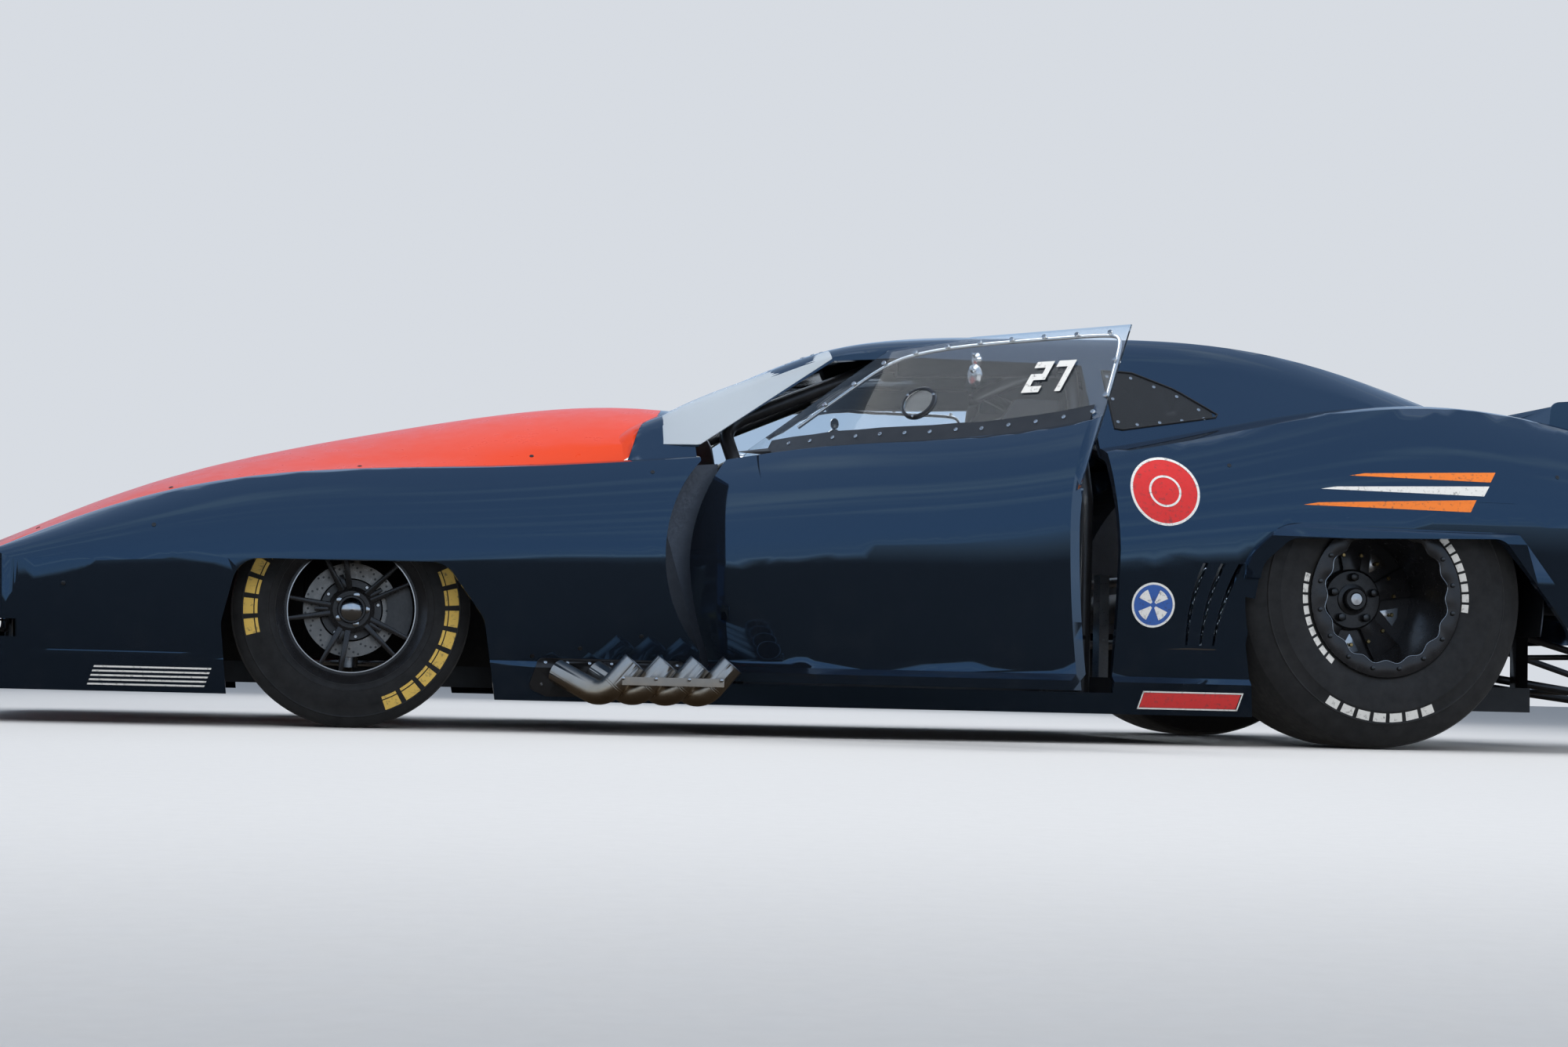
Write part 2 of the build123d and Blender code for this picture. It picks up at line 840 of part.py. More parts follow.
with BuildPart() as rear_rim:
    add(spun(rear_axle_x, rear_z, rear_rim_section))
    rear_face = Plane(origin=(rear_axle_x, centre_y, rear_z), x_dir=(1, 0, 0), z_dir=(0, 1, 0))
    with BuildSketch(rear_face):
        Circle(rear_rim_r - 4)
        with PolarLocations(0, 5, start_angle=90):
            with BuildLine():
                Polyline((88, 0), (146, -44), (158, 0), (146, 44), close=True)
            make_face(mode=Mode.SUBTRACT)
    extrude(amount=-22)
    add(across(rear_axle_x, centre_y - 10, rear_z, 46, 40))
    add(across(rear_axle_x, 540, rear_z, 24, centre_y - 540))
    add(spun(rear_axle_x, rear_z, [(20, 606), (150, 606), (150, 618), (60, 618), (60, centre_y - 10), (20, centre_y - 10)]))

with BuildPart() as rear_tyre:
    half_w = rear_tyre_w / 2
    add(spun(rear_axle_x, rear_z, [
        (rear_rim_r + seat_gap, rear_lip_in + 14.5),
        (rear_rim_r + 18 + seat_gap, rear_lip_in + 7.5),
        (rear_tyre_r - 38, rear_mid - half_w + 12),
        (rear_tyre_r - 3, rear_mid - 185),
        (rear_tyre_r - 3, rear_mid + 185),
        (rear_tyre_r - 38, rear_mid + half_w - 12),
        (rear_ring_r + seat_gap, rear_ring_y - 14.5),
        (rear_rim_r + seat_gap, rear_ring_y - 26.5),
    ], [(1, (rear_tyre_r - 100, rear_mid - half_w)), (2, (rear_tyre_r - 12, rear_mid - half_w + 24)),
        (3, (rear_tyre_r, rear_mid)),
        (4, (rear_tyre_r - 12, rear_mid + half_w - 24)), (5, (rear_tyre_r - 100, rear_mid + half_w))]))

# Knuckle with its brake caliper, on the right side
arm_z = 176
strut_bottom_z = 430
strut_top_z = 640
arm_start = 6.3
with BuildPart() as knuckle:
    with Locations((front_axle_x, kingpin_y, (arm_z + strut_bottom_z) / 2)):
        Box(56, 34, strut_bottom_z - arm_z - 40)
    add(across(front_axle_x, kingpin_y, front_z, spindle_r, hub_y - 8 - kingpin_y))
    add(across(front_axle_x, kingpin_y, front_z, 42, 46))
    with Locations((front_axle_x, kingpin_y, strut_bottom_z)):
        Cylinder(kingpin_r, 70)
    with Locations((front_axle_x, kingpin_y, arm_z)):
        Cylinder(kingpin_r, 50)
    with BuildSketch(Plane(origin=(front_axle_x, 638, front_z), x_dir=(1, 0, 0), z_dir=(0, 1, 0))):
        with BuildLine():
            Polyline((-20, -30), (-20, 30), (98, 52), (150, 40), (150, -40), (98, -52), close=True)
        make_face()
    extrude(amount=10)
    with BuildSketch(Plane(origin=(front_axle_x, 643, front_z), x_dir=(1, 0, 0), z_dir=(0, 1, 0))):
        with BuildLine():
            inner, outer, turn = 98, 166, radians(26)
            start_in = (inner * cos(turn), -inner * sin(turn))
            start_out = (outer * cos(turn), -outer * sin(turn))
            Line(start_in, start_out)
            ThreePointArc(start_out, (outer, 0), (start_out[0], -start_out[1]))
            Line((start_out[0], -start_out[1]), (start_in[0], -start_in[1]))
            ThreePointArc((start_in[0], -start_in[1]), (inner, 0), start_in)
        make_face()
    extrude(amount=50)
    add(spun(front_axle_x, front_z, [(60, disc_y - running_gap), (disc_r + running_gap, disc_y - running_gap),
                                     (disc_r + running_gap, disc_y + disc_t + running_gap),
                                     (60, disc_y + disc_t + running_gap)]), mode=Mode.SUBTRACT)

# Front struts and lower arms
with BuildPart() as front_suspension:
    for side in (1, -1):
        y = side * kingpin_y
        with Locations((front_axle_x, y, (strut_bottom_z + 10 + strut_top_z) / 2)):
            Cylinder(27, strut_top_z - strut_bottom_z - 10)
        with Locations((front_axle_x, y, strut_bottom_z + 20)):
            Cylinder(kingpin_r + shaft_gap, 40, mode=Mode.SUBTRACT)
        with Locations((front_axle_x, y, arm_z)):
            Cylinder(26, 30)
            Cylinder(kingpin_r + shaft_gap, 30, mode=Mode.SUBTRACT)
        for reach in (-150, 150):
            add(tube([(front_axle_x + reach, side * (rail_y + rail_w / 2 + arm_start), arm_z),
                      (front_axle_x + 14 * (1 if reach > 0 else -1), side * (kingpin_y - 20), arm_z)], 11, 0))
        with Locations((front_axle_x, side * (rail_y + kingpin_y) / 2, strut_top_z - 7)):
            Box(90, kingpin_y - rail_y + 60, 14)
        with Locations((front_axle_x, side * rail_y, (rail_bottom_z + rail_h + strut_top_z) / 2)):
            Box(40, 30, strut_top_z - rail_bottom_z - rail_h - 2 * seat_gap)
front_suspension.part.label = "front_suspension"

# Rear axle housing with its links and coil-over units
with BuildPart() as rear_axle:
    add(spun(rear_axle_x, rear_z, [(24 + shaft_gap, 530), (axle_r, 530), (axle_r, 590), (24 + shaft_gap, 590)]))
    add(across(rear_axle_x, 120, rear_z, axle_r, 412))
    add(across(rear_axle_x, 530, rear_z, 24 + shaft_gap, 60), mode=Mode.SUBTRACT)
    mirror(about=Plane.XZ)
    with Locations((rear_axle_x, 0, rear_z)):
        Sphere(150)
    add(tube([(rear_axle_x - 250, 0, rear_z), (rear_axle_x, 0, rear_z)], 62, 0))
    with Locations((rear_axle_x, bracket_y, rear_z), (rear_axle_x, -bracket_y, rear_z)):
        Box(100, bracket_t, 300)
    for side in (1, -1):
        with Locations((rear_axle_x + 85, side * (bracket_y + 30), rear_z - 65 - seat_gap)):
            Box(100, 72, 10)
rear_axle.part.label = "rear_axle"

link_y = bracket_y - bracket_t / 2 - seat_gap - link_r
link_bracket_x = 820
link_bracket_h = 320
with BuildPart() as rear_links:
    for side in (1, -1):
        for z, front_bar_z in ((rear_z + 110, rear_z + 40), (rear_z - 110, rear_z - 150)):
            add(tube([(link_bracket_x, side * link_y, front_bar_z), (rear_axle_x, side * link_y, z)], link_r, 0))
        with Locations((coil_x, side * coil_y, (rear_z - 60 + coil_bar_z - cage_r - seat_gap) / 2)):
            Cylinder(coil_r, coil_bar_z - cage_r - seat_gap - rear_z + 60)
        with Locations((link_bracket_x, side * link_y, 180 + seat_gap + link_bracket_h / 2)):
            Box(30, 60, link_bracket_h)
rear_links.part.label = "rear_links"

# Frame, floor, cage
with BuildPart() as frame_rails:
    with Locations((75, rail_y, rail_bottom_z + rail_h / 2), (75, -rail_y, rail_bottom_z + rail_h / 2)):
        Box(4250, rail_w, rail_h)
    for x in (-2025, -1200, -330, 820, 2175):
        with Locations((x, 0, rail_bottom_z + rail_h / 2)):
            Box(rail_w, 2 * rail_y, rail_h - 16)
    with Locations((2175, rail_y, 420), (2175, -rail_y, 420)):
        Box(40, 40, 540)
    with Locations((2175, 0, 670), (2175, 0, chute_z)):
        Box(40, 2 * rail_y, 40)
    for y in (chute_y, -chute_y):
        add(tube([(2175, y, chute_z), (2850, y, chute_z)], chute_bar_r, 0))
        with Locations((2710, y, pack_bottom_z - seat_gap - 5)):
            Box(300, 120, 10)
frame_rails.part.label = "frame_rails"

floor_top_z = rail_bottom_z - seat_gap
inside = body_loft(wall + seat_gap)
with BuildPart() as floor_pan:
    with Locations(((-470 + 1000) / 2, 0, floor_top_z - floor_t / 2)):
        Box(1470, 2000, floor_t)
    with Locations((-468, 0, (floor_top_z + 860) / 2 - 1)):
        Box(4, 2 * kick_y, 860 - floor_top_z + 2)
    with Locations((-563, kick_y - 2, 440), (-563, 2 - kick_y, 440)):
        Box(194, 4, 660)
    add(inside, mode=Mode.INTERSECT)
    with BuildSketch(Plane.YZ.offset(-480)):
        with Locations((0, 330)):
            Circle(205)
        with Locations((rail_y, rail_bottom_z + rail_h / 2), (-rail_y, rail_bottom_z + rail_h / 2)):
            Rectangle(rail_w + 2 * seat_gap, rail_h + 2 * seat_gap)
        with Locations((seat_y, 571)):
            Circle(17)
    extrude(amount=40, mode=Mode.SUBTRACT)
floor_pan.part.label = "floor_pan"

with BuildPart() as wheel_tubs:
    with BuildSketch(Plane.XZ.offset(-tub_inner_y)):
        with Locations((rear_axle_x, rear_z)):
            Circle(tub_r)
    extrude(amount=-480)
    with BuildSketch(Plane.XZ.offset(-tub_inner_y - 4)):
        with Locations((rear_axle_x, rear_z)):
            Circle(tub_r - 4)
    extrude(amount=-480, mode=Mode.SUBTRACT)
    with Locations((rear_axle_x, 600, rear_z - 500 - 100)):
        Box(1200, 1200, 1000, mode=Mode.SUBTRACT)
    add(across(rear_axle_x, 400, rear_z, 70, 40), mode=Mode.SUBTRACT)
    add(inside, mode=Mode.INTERSECT)
    mirror(about=Plane.XZ)
wheel_tubs.part.label = "wheel_tubs"

hoop_x = 620
post_x = -400
post_y = 740
cage_runs = [
    [(hoop_x, -690, rail_bottom_z + 4), (hoop_x, -700, 700), (hoop_x, -510, 1126), (hoop_x, 510, 1126),
     (hoop_x, 700, 700), (hoop_x, 690, rail_bottom_z + 4)],
]
for run in (
    [(hoop_x, 490, 1112), (60, 480, 1085), (-430, 570, 876), (post_x, post_y, 700), (post_x, post_y, rail_bottom_z + 4)],
    [(post_x, 738, 430), (hoop_x, 694, 300)],
    [(hoop_x, 380, 1120), (1850, 380, 560), (2151, rail_y, 560)],
):
    cage_runs += left_and_right(run)
for x, y, z in ((hoop_x, 690, 640), (post_x, post_y, 640), (60, 480, 1085), (coil_x, 380, coil_bar_z)):
    cage_runs.append([(x, -y, z), (x, y, z)])
with BuildPart() as roll_cage:
    for run in cage_runs:
        add(tube(run, cage_r, 90))
    for side in (1, -1):
        for x, leg_y in ((hoop_x, 690), (post_x, post_y)):
            rail_out = rail_y + rail_w / 2 + seat_gap
            with Locations((x, side * (rail_out + leg_y) / 2, rail_bottom_z + 20)):
                Box(40, leg_y - rail_out, 32)
roll_cage.part.label = "roll_cage"

with BuildPart() as engine_block:
    with Locations((engine_x + engine_l / 2, 0, engine_bottom_z + engine_h / 2)):
        Box(engine_l, engine_w, engine_h)
    chamfer(engine_block.edges().filter_by(Axis.X), 60)
engine_block.part.label = "engine_block"

with BuildPart() as driveline:
    with BuildSketch(Plane.YZ.offset(engine_x + engine_l + seat_gap)):
        with Locations((0, 330)):
            Circle(195)
    with BuildSketch(Plane.YZ.offset(-300)):
        with Locations((0, 330)):
            Circle(110)
    loft()
    add(tube([(-300, 0, 330), (250, 0, 330)], 100, 0))
    add(tube([(250, 0, 330), (rear_axle_x - 256, 0, rear_z)], 45, 0))
driveline.part.label = "driveline"

seat_w = 440
seat_side_t = 26
seat_bottom_z = rail_bottom_z + rail_h + seat_gap
with BuildPart() as seat:
    with BuildSketch(Plane.XZ.offset(-seat_y - seat_w / 2)):
        with BuildLine():
            Polyline((40, seat_bottom_z), (20, 265), (390, 240), (480, 860), (520, 1000), (582, 1000),
                     (560, 820), (480, seat_bottom_z), close=True)
        make_face()
    extrude(amount=seat_w)
    for side_y in (seat_y - seat_w / 2, seat_y + seat_w / 2 - seat_side_t):
        with BuildSketch(Plane.XZ.offset(-side_y - seat_side_t)) as side:
            with BuildLine():
                Polyline((40, seat_bottom_z), (20, 370), (290, 380), (350, 560), (380, 900), (450, 1000),
                         (582, 1000), (560, 820), (480, seat_bottom_z), close=True)
            make_face()
            fillet(side.vertices().group_by(Axis.Y)[1:], 26)
        extrude(amount=seat_side_t)
seat.part.label = "seat"

with BuildPart() as dashboard:
    with Locations((post_x + 22, 0, 640 + cage_r + seat_gap + 62)):
        Box(90, 1240, 124)
    fillet(dashboard.edges().filter_by(Axis.Y), 30)
dashboard.part.label = "dashboard"

wheel_tilt = 20
wheel_centre = (-60, seat_y, 690)
with BuildPart() as steering_wheel:
    with BuildSketch(Plane(origin=(0, 0, 0), x_dir=(1, 0, 0), z_dir=(0, 1, 0))):
        with Locations((150, 0)):
            Circle(13)
    revolve(axis=Axis.Z)
    with Locations((0, 0, 0)):
        Cylinder(34, 20)
        Box(286, 26, 6)
        Box(26, 286, 6)
    with Locations((0, 0, -30)):
        Cylinder(12, 60)
steering_wheel_placed = Plane(origin=wheel_centre, z_dir=(cos(radians(wheel_tilt)), 0, sin(radians(wheel_tilt))))
steering_wheel_part = steering_wheel_placed * steering_wheel.part
steering_wheel_part.label = "steering_wheel"

rack_r = 26
rack_z = 240
saddle_h = 30
with BuildPart() as steering_column:
    column_end = Vector(*wheel_centre) - Vector(cos(radians(wheel_tilt)), 0, sin(radians(wheel_tilt))) * 62
    rack_x = front_axle_x + 190
    add(tube([tuple(column_end), (-380, seat_y, 600), (-620, seat_y, 520), (rack_x + 60, seat_y, 300),
              (rack_x, seat_y + 60, 250)], 12, 30))
    for y in (rail_y, -rail_y):
        with Locations((rack_x, y, rail_bottom_z + rail_h + seat_gap + saddle_h / 2)):
            Box(40, 30, saddle_h)
    add(across(rack_x, -400, rack_z, rack_r + seat_gap, 800), mode=Mode.SUBTRACT)
    add(across(rack_x, -400, rack_z, rack_r, 800))
steering_column.part.label = "steering_column"

# Door hinges: posts on the cage with two ears for each pin
with BuildPart() as door_hinges:
    for z in hinge_zs:
        for ear_z in (z - barrel_half - seat_gap - ear_t / 2, z + barrel_half + seat_gap + ear_t / 2):
            with BuildSketch(Plane.XY.offset(ear_z - ear_t / 2)):
                with Locations((hinge_x, hinge_y)):
                    Circle(barrel_r)
                with BuildLine():
                    Polyline((hinge_x - 14, hinge_y), (hinge_x + 14, hinge_y), (post_x + 34, 765),
                             (post_x - 10, 765), close=True)
                make_face()
            extrude(amount=ear_t)
        with Locations((hinge_x, hinge_y, z)):
            Cylinder(pin_r, 2 * (barrel_half + ear_t + seat_gap))
        with Locations((post_x + 4, post_y + cage_r + seat_gap + 5, z)):
            Box(60, 10, 2 * (barrel_half + ear_t + seat_gap))
    mirror(about=Plane.XZ)
door_hinges.part.label = "door_hinges"

# Exhaust pipes, right side mirrored from the left
with BuildPart() as exhaust_left:
    for run in pipe_runs:
        add(tube(run, pipe_r, pipe_bend))
        add(tube(run, pipe_r - pipe_wall, pipe_bend), mode=Mode.SUBTRACT)
    with Locations(((outlet_xs[0] + outlet_xs[-1]) / 2 - 30, 6 - outlet_y - pipe_r + 2, outlet_z - 50)):
        Box(outlet_xs[-1] - outlet_xs[0] + 10, 5, 22)
exhaust_left.part.label = "exhaust_left"

with BuildPart() as exhaust_right:
    add(exhaust_left.part.mirror(Plane.XZ))
exhaust_right.part.label = "exhaust_right"

# The plate round the pipes, on the body side
plate_t = 3
with BuildPart() as exhaust_plates:
    with BuildSketch(Plane.XZ.offset(800)) as plate:
        with BuildLine():
            Polyline((-990, 118), (-966, 200), (-570, 200), (-552, 96), (-940, 96), close=True)
        make_face()
        fillet(plate.vertices(), 16)
    extrude(amount=200)
    add(body_outer.moved(Location((0, -seat_gap - plate_t, 0))), mode=Mode.INTERSECT)
    add([body_outer.moved(Location((0, -seat_gap, 0))), pipe_holes.part], mode=Mode.SUBTRACT)
    mirror(about=Plane.XZ)
exhaust_plates.part.label = "exhaust_plates"

# Spoiler on the deck
with BuildPart() as rear_spoiler:
    with BuildSketch(Plane.XZ.offset(-690)):
        with BuildLine():
            Polyline((2090, 960), (2100, 1040), (2620, 1085), (2622, 1073), (2500, 1055), (2480, 930), close=True)
        make_face()
    extrude(amount=1380)
    for y in (700, -694):
        with BuildSketch(Plane.XZ.offset(-y)) as plate:
            with BuildLine():
                Polyline((2068, 930), (2080, 1048), (2618, 1100), (2624, 1010), (2500, 930), close=True)
            make_face()
            fillet(plate.vertices().sort_by(Axis.Y)[-2:], 30)
        extrude(amount=6)
    add(body_outer.moved(Location((0, 0, seat_gap))), mode=Mode.SUBTRACT)
rear_spoiler.part.label = "rear_spoiler"

# Wheelie bar
wheelie_x = 3040
wheelie_r = 57
wheelie_z = wheelie_r + 48
with BuildPart() as wheelie_bar:
    for side in (1, -1):
        inner_face = bracket_y - bracket_t / 2 - seat_gap
        add(tube([(rear_axle_x + 20, side * (inner_face - 13), rear_z - 120), (2150, side * 250, 214),
                  (wheelie_x, side * 120, wheelie_z)], 13, 200))
        add(tube([(rear_axle_x + 30, side * (inner_face - 11), rear_z + 110), (2450, side * 214, 300),
                  (wheelie_x, side * 120, wheelie_z)], 11, 200))
        with Locations((wheelie_x, side * 120, wheelie_z)):
            Cylinder(20, 24, rotation=(90, 0, 0))
    for x, y, z in ((2450, 206, 178), (2450, 206, 292)):
        add(across(x, -y, z, 9, 2 * y))
    add(across(wheelie_x, -132, wheelie_z, 10, 264))
wheelie_bar.part.label = "wheelie_bar"

with BuildPart() as wheelie_wheels:
    for y in (60, -100):
        add(spun(wheelie_x, wheelie_z, [(10 + shaft_gap, y), (wheelie_r - 4, y), (wheelie_r, y + 5), (wheelie_r, y + 35),
                                        (wheelie_r - 4, y + 40), (10 + shaft_gap, y + 40)]))
wheelie_wheels.part.label = "wheelie_wheels"

# Parachute packs behind the tail
with BuildPart() as parachute_packs:
    for y in (chute_y, -chute_y):
        with BuildSketch(Plane.YZ.offset(2545)):
            with Locations((y, pack_bottom_z + 95)):
                RectangleRounded(190, 190, 60)
        extrude(amount=330)
    fillet(parachute_packs.edges().group_by(Axis.X)[-1], 40)
parachute_packs.part.label = "parachute_packs"

# Nose: grille bars, headlamps, splitter
with BuildPart() as grille:
    with BuildSketch(Plane.YZ.offset(nose_x - 50)):
        with Locations((0, grille_z)):
            RectangleRounded(grille_w - 2 * seat_gap, grille_h - 2 * seat_gap, grille_corner - seat_gap)
    extrude(amount=260)
    add(lamp_back, mode=Mode.INTERSECT)
    add(body_inner, mode=Mode.SUBTRACT)
    with BuildSketch(Plane.YZ.offset(nose_x - 50)):
        with Locations((0, grille_z)):
            with GridLocations(40, 26, 21, 4):
                Rectangle(34, 20)
    extrude(amount=260, mode=Mode.SUBTRACT)
grille.part.label = "grille"

with BuildPart() as headlamps:
    with BuildSketch(Plane.YZ.offset(nose_x - 50)):
        with Locations((lamp_y, grille_z), (-lamp_y, grille_z)):
            Circle(lamp_r - seat_gap)
    extrude(amount=260)
    add(body_outer, mode=Mode.INTERSECT)
    add(lamp_back, mode=Mode.SUBTRACT)
headlamps.part.label = "headlamps"

# The right-hand running gear and its mirror image
right_hand = {
    "front_rim": front_rim,
    "front_tyre": front_tyre,
    "rear_rim": rear_rim,
    "rear_tyre": rear_tyre,
    "knuckle": knuckle,
}
for name, piece in right_hand.items():
    export_step(piece.part, f"parts/{name}_right.step")
    export_step(piece.part.mirror(Plane.XZ), f"parts/{name}_left.step")

pieces = [
    hood, cowl_panel, front_clip, deck_lid, sills, tail_panel, tail_lamps, body_shell,
    door_left, door_right, door_window_left, door_window_right, windscreen, rear_window, quarter_windows,
    front_suspension, rear_axle, rear_links, frame_rails, floor_pan, wheel_tubs, roll_cage, engine_block,
    driveline, seat, dashboard, steering_column, door_hinges, exhaust_left, exhaust_right,
    exhaust_plates, rear_spoiler,
    wheelie_bar, wheelie_wheels, parachute_packs, grille, headlamps,
]
for piece in pieces:
    export_step(piece.part, f"parts/{piece.part.label}.step")
export_step(steering_wheel_part, "parts/steering_wheel.step")
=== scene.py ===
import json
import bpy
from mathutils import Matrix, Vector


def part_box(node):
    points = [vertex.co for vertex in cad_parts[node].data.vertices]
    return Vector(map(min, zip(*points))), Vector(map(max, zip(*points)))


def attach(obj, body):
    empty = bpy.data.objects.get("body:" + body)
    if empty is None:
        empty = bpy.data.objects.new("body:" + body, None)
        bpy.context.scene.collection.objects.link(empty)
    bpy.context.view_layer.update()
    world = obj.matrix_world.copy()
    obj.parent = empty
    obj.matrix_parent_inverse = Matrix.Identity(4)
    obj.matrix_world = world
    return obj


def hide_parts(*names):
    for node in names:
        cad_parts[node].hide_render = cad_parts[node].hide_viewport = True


bl_info = {
    "name": "Drag racing car dressing",
    "version": (1, 0, 0),
    "blender": (4, 5, 0),
    "location": "View3D > Sidebar > Drag car",
    "description": "Builds wheels, trim, cabin and finishes round the packed drag racing car",
    "category": "Object",
}

from math import cos, pi, radians, sin

import bmesh
import bpy
from bpy.props import FloatProperty, FloatVectorProperty, PointerProperty
from mathutils import Matrix, Vector
from mathutils.bvhtree import BVHTree

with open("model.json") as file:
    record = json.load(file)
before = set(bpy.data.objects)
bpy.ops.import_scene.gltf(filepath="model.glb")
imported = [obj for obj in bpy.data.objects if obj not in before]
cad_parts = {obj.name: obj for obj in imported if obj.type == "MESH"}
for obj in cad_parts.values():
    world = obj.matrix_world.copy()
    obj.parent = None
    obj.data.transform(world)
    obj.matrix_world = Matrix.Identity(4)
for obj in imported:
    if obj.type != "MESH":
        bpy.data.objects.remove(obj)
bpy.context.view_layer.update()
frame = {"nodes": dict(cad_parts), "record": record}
NODES = frame["nodes"]
SIDES = {"left": -1, "right": 1}
AXIS = 0.0001  # radius of a turned profile where it closes


# Sizes and colours a user would change

class PaintSettings(bpy.types.PropertyGroup):
    body_colour: FloatVectorProperty(
        name="Body colour", description="Base of the gloss body paint", subtype="COLOR", size=3,
        default=(0.007, 0.010, 0.016), min=0, max=1,
    )
    hood_colour: FloatVectorProperty(
        name="Hood colour", description="Base of the hood's paint", subtype="COLOR", size=3,
        default=(0.66, 0.050, 0.008), min=0, max=1,
    )
    ripple: FloatProperty(
        name="Ripple", description="How wavy the composite panels look", default=0.05, min=0, max=1,
    )


class TyreSettings(bpy.types.PropertyGroup):
    front_mark_colour: FloatVectorProperty(
        name="Front marks", description="Sidewall marks of the front tyres", subtype="COLOR", size=3,
        default=(0.62, 0.42, 0.09), min=0, max=1,
    )
    rear_mark_colour: FloatVectorProperty(
        name="Rear marks", description="Sidewall marks of the rear tyres", subtype="COLOR", size=3,
        default=(0.62, 0.62, 0.60), min=0, max=1,
    )
    mark_rise: FloatProperty(
        name="Mark rise", description="How far the marks stand off the rubber", default=0.0006,
        min=0.0002, max=0.002, unit="LENGTH",
    )


class FastenerSettings(bpy.types.PropertyGroup):
    head_radius: FloatProperty(
        name="Head radius", description="Quarter-turn fastener heads on the panels", default=0.0062,
        min=0.003, max=0.02, unit="LENGTH",
    )
    window_head_radius: FloatProperty(
        name="Window head radius", description="Button heads round the windows", default=0.0060,
        min=0.003, max=0.02, unit="LENGTH",
    )


class StageSettings(bpy.types.PropertyGroup):
    floor_colour: FloatVectorProperty(
        name="Floor colour", description="Plain pale floor", subtype="COLOR", size=3,
        default=(0.62, 0.62, 0.62), min=0, max=1,
    )
    lamp_power: FloatProperty(name="Lamp power", description="Power of the large overhead lamp, in watts",
                              default=260)


SETTINGS = {
    "dragcar_paint": PaintSettings,
    "dragcar_tyres": TyreSettings,
    "dragcar_fasteners": FastenerSettings,
    "dragcar_stage": StageSettings,
}


# Modelling helpers

def deselect():
    if bpy.context.object and bpy.context.object.mode != "OBJECT":
        bpy.ops.object.mode_set(mode="OBJECT")
    bpy.ops.object.select_all(action="DESELECT")


def choose(piece):
    """Selects this piece alone."""
    deselect()
    piece.select_set(True)
    bpy.context.view_layer.objects.active = piece


def edit_all():
    """Edit mode with everything selected."""
    bpy.ops.object.mode_set(mode="EDIT")
    bpy.ops.mesh.select_all(action="SELECT")


def settle(piece):
    """Back to object mode, with the piece's place in its mesh."""
    if bpy.context.object.mode != "OBJECT":
        bpy.ops.object.mode_set(mode="OBJECT")
    bpy.ops.object.transform_apply(location=True, rotation=True, scale=True)
    return piece


def tidy_mesh(piece, gap=0.00001):
    """Joins corners that lie closer than gap and turns the faces outwards."""
    choose(piece)
    edit_all()
    bpy.ops.mesh.remove_doubles(threshold=gap)
    bpy.ops.mesh.normals_make_consistent(inside=False)
    bpy.ops.object.mode_set(mode="OBJECT")
    return piece


def smooth(piece, angle=30):
    """Smooth shading, with creases sharper than angle in degrees kept."""
    choose(piece)
    bpy.ops.object.shade_smooth_by_angle(angle=radians(angle))
    return piece


def apply_modifier(piece, kind, **settings):
    """Adds a modifier with these settings and applies it."""
    modifier = piece.modifiers.new(kind.title(), kind)
    for key, value in settings.items():
        setattr(modifier, key, value)
    choose(piece)
    bpy.ops.object.modifier_apply(modifier=modifier.name)
    return piece


def rounded(piece, width, segments=2, sharpest=40):
    """Bevels the edges sharper than an angle in degrees."""
    return apply_modifier(piece, "BEVEL", width=width, segments=segments, limit_method="ANGLE",
                          angle_limit=radians(sharpest))


def outline_piece(name, points):
    """A closed line of vertices through the points, made from a circle of as many vertices."""
    deselect()
    bpy.ops.mesh.primitive_circle_add(vertices=len(points), radius=1, location=(0, 0, 0))
    piece = bpy.context.object
    piece.name = name
    for vertex, point in zip(piece.data.vertices, points):
        vertex.co = point
    return piece


def turned(name, profile, centre, steps=72, angle=2 * pi, start=0.0):
    """A closed (radius, along) profile spun about an axis along Y through centre."""
    cx, cy, cz = centre
    points = [(cx + r * cos(start), cy + along, cz + r * sin(start)) for r, along in profile]
    piece = outline_piece(name, points)
    edit_all()
    if angle < 2 * pi:
        bpy.ops.mesh.edge_face_add()
        bpy.ops.mesh.select_all(action="SELECT")
    bpy.ops.mesh.spin(steps=steps, angle=-angle, center=centre, axis=(0, 1, 0))
    return tidy_mesh(piece)


def slab(name, outline, normal_step, bevel=0.0):
    """A flat outline of points pushed out by the vector normal_step, with bevelled edges."""
    piece = outline_piece(name, outline)
    edit_all()
    bpy.ops.mesh.edge_face_add()
    bpy.ops.mesh.select_all(action="SELECT")
    bpy.ops.mesh.extrude_region_move(TRANSFORM_OT_translate={"value": normal_step})
    tidy_mesh(piece)
    if bevel:
        rounded(piece, bevel)
    return piece


def block(name, low, high, bevel=0.003, segments=3):
    """A box between two corners with rounded edges."""
    low, high = Vector(low), Vector(high)
    deselect()
    bpy.ops.mesh.primitive_cube_add(size=1, location=(low + high) / 2)
    piece = bpy.context.object
    piece.name = name
    piece.scale = high - low
    settle(piece)
    return rounded(piece, bevel, segments)


def rod(name, start, end, radius, vertices=20, bevel=0.0):
    """A round bar between two points."""
    start, end = Vector(start), Vector(end)
    run = end - start
    deselect()
    bpy.ops.mesh.primitive_cylinder_add(
        vertices=vertices, radius=radius, depth=run.length, location=(start + end) / 2,
        rotation=run.to_track_quat("Z", "Y").to_euler(),
    )
    piece = bpy.context.object
    piece.name = name
    settle(piece)
    if bevel:
        rounded(piece, bevel)
    return piece


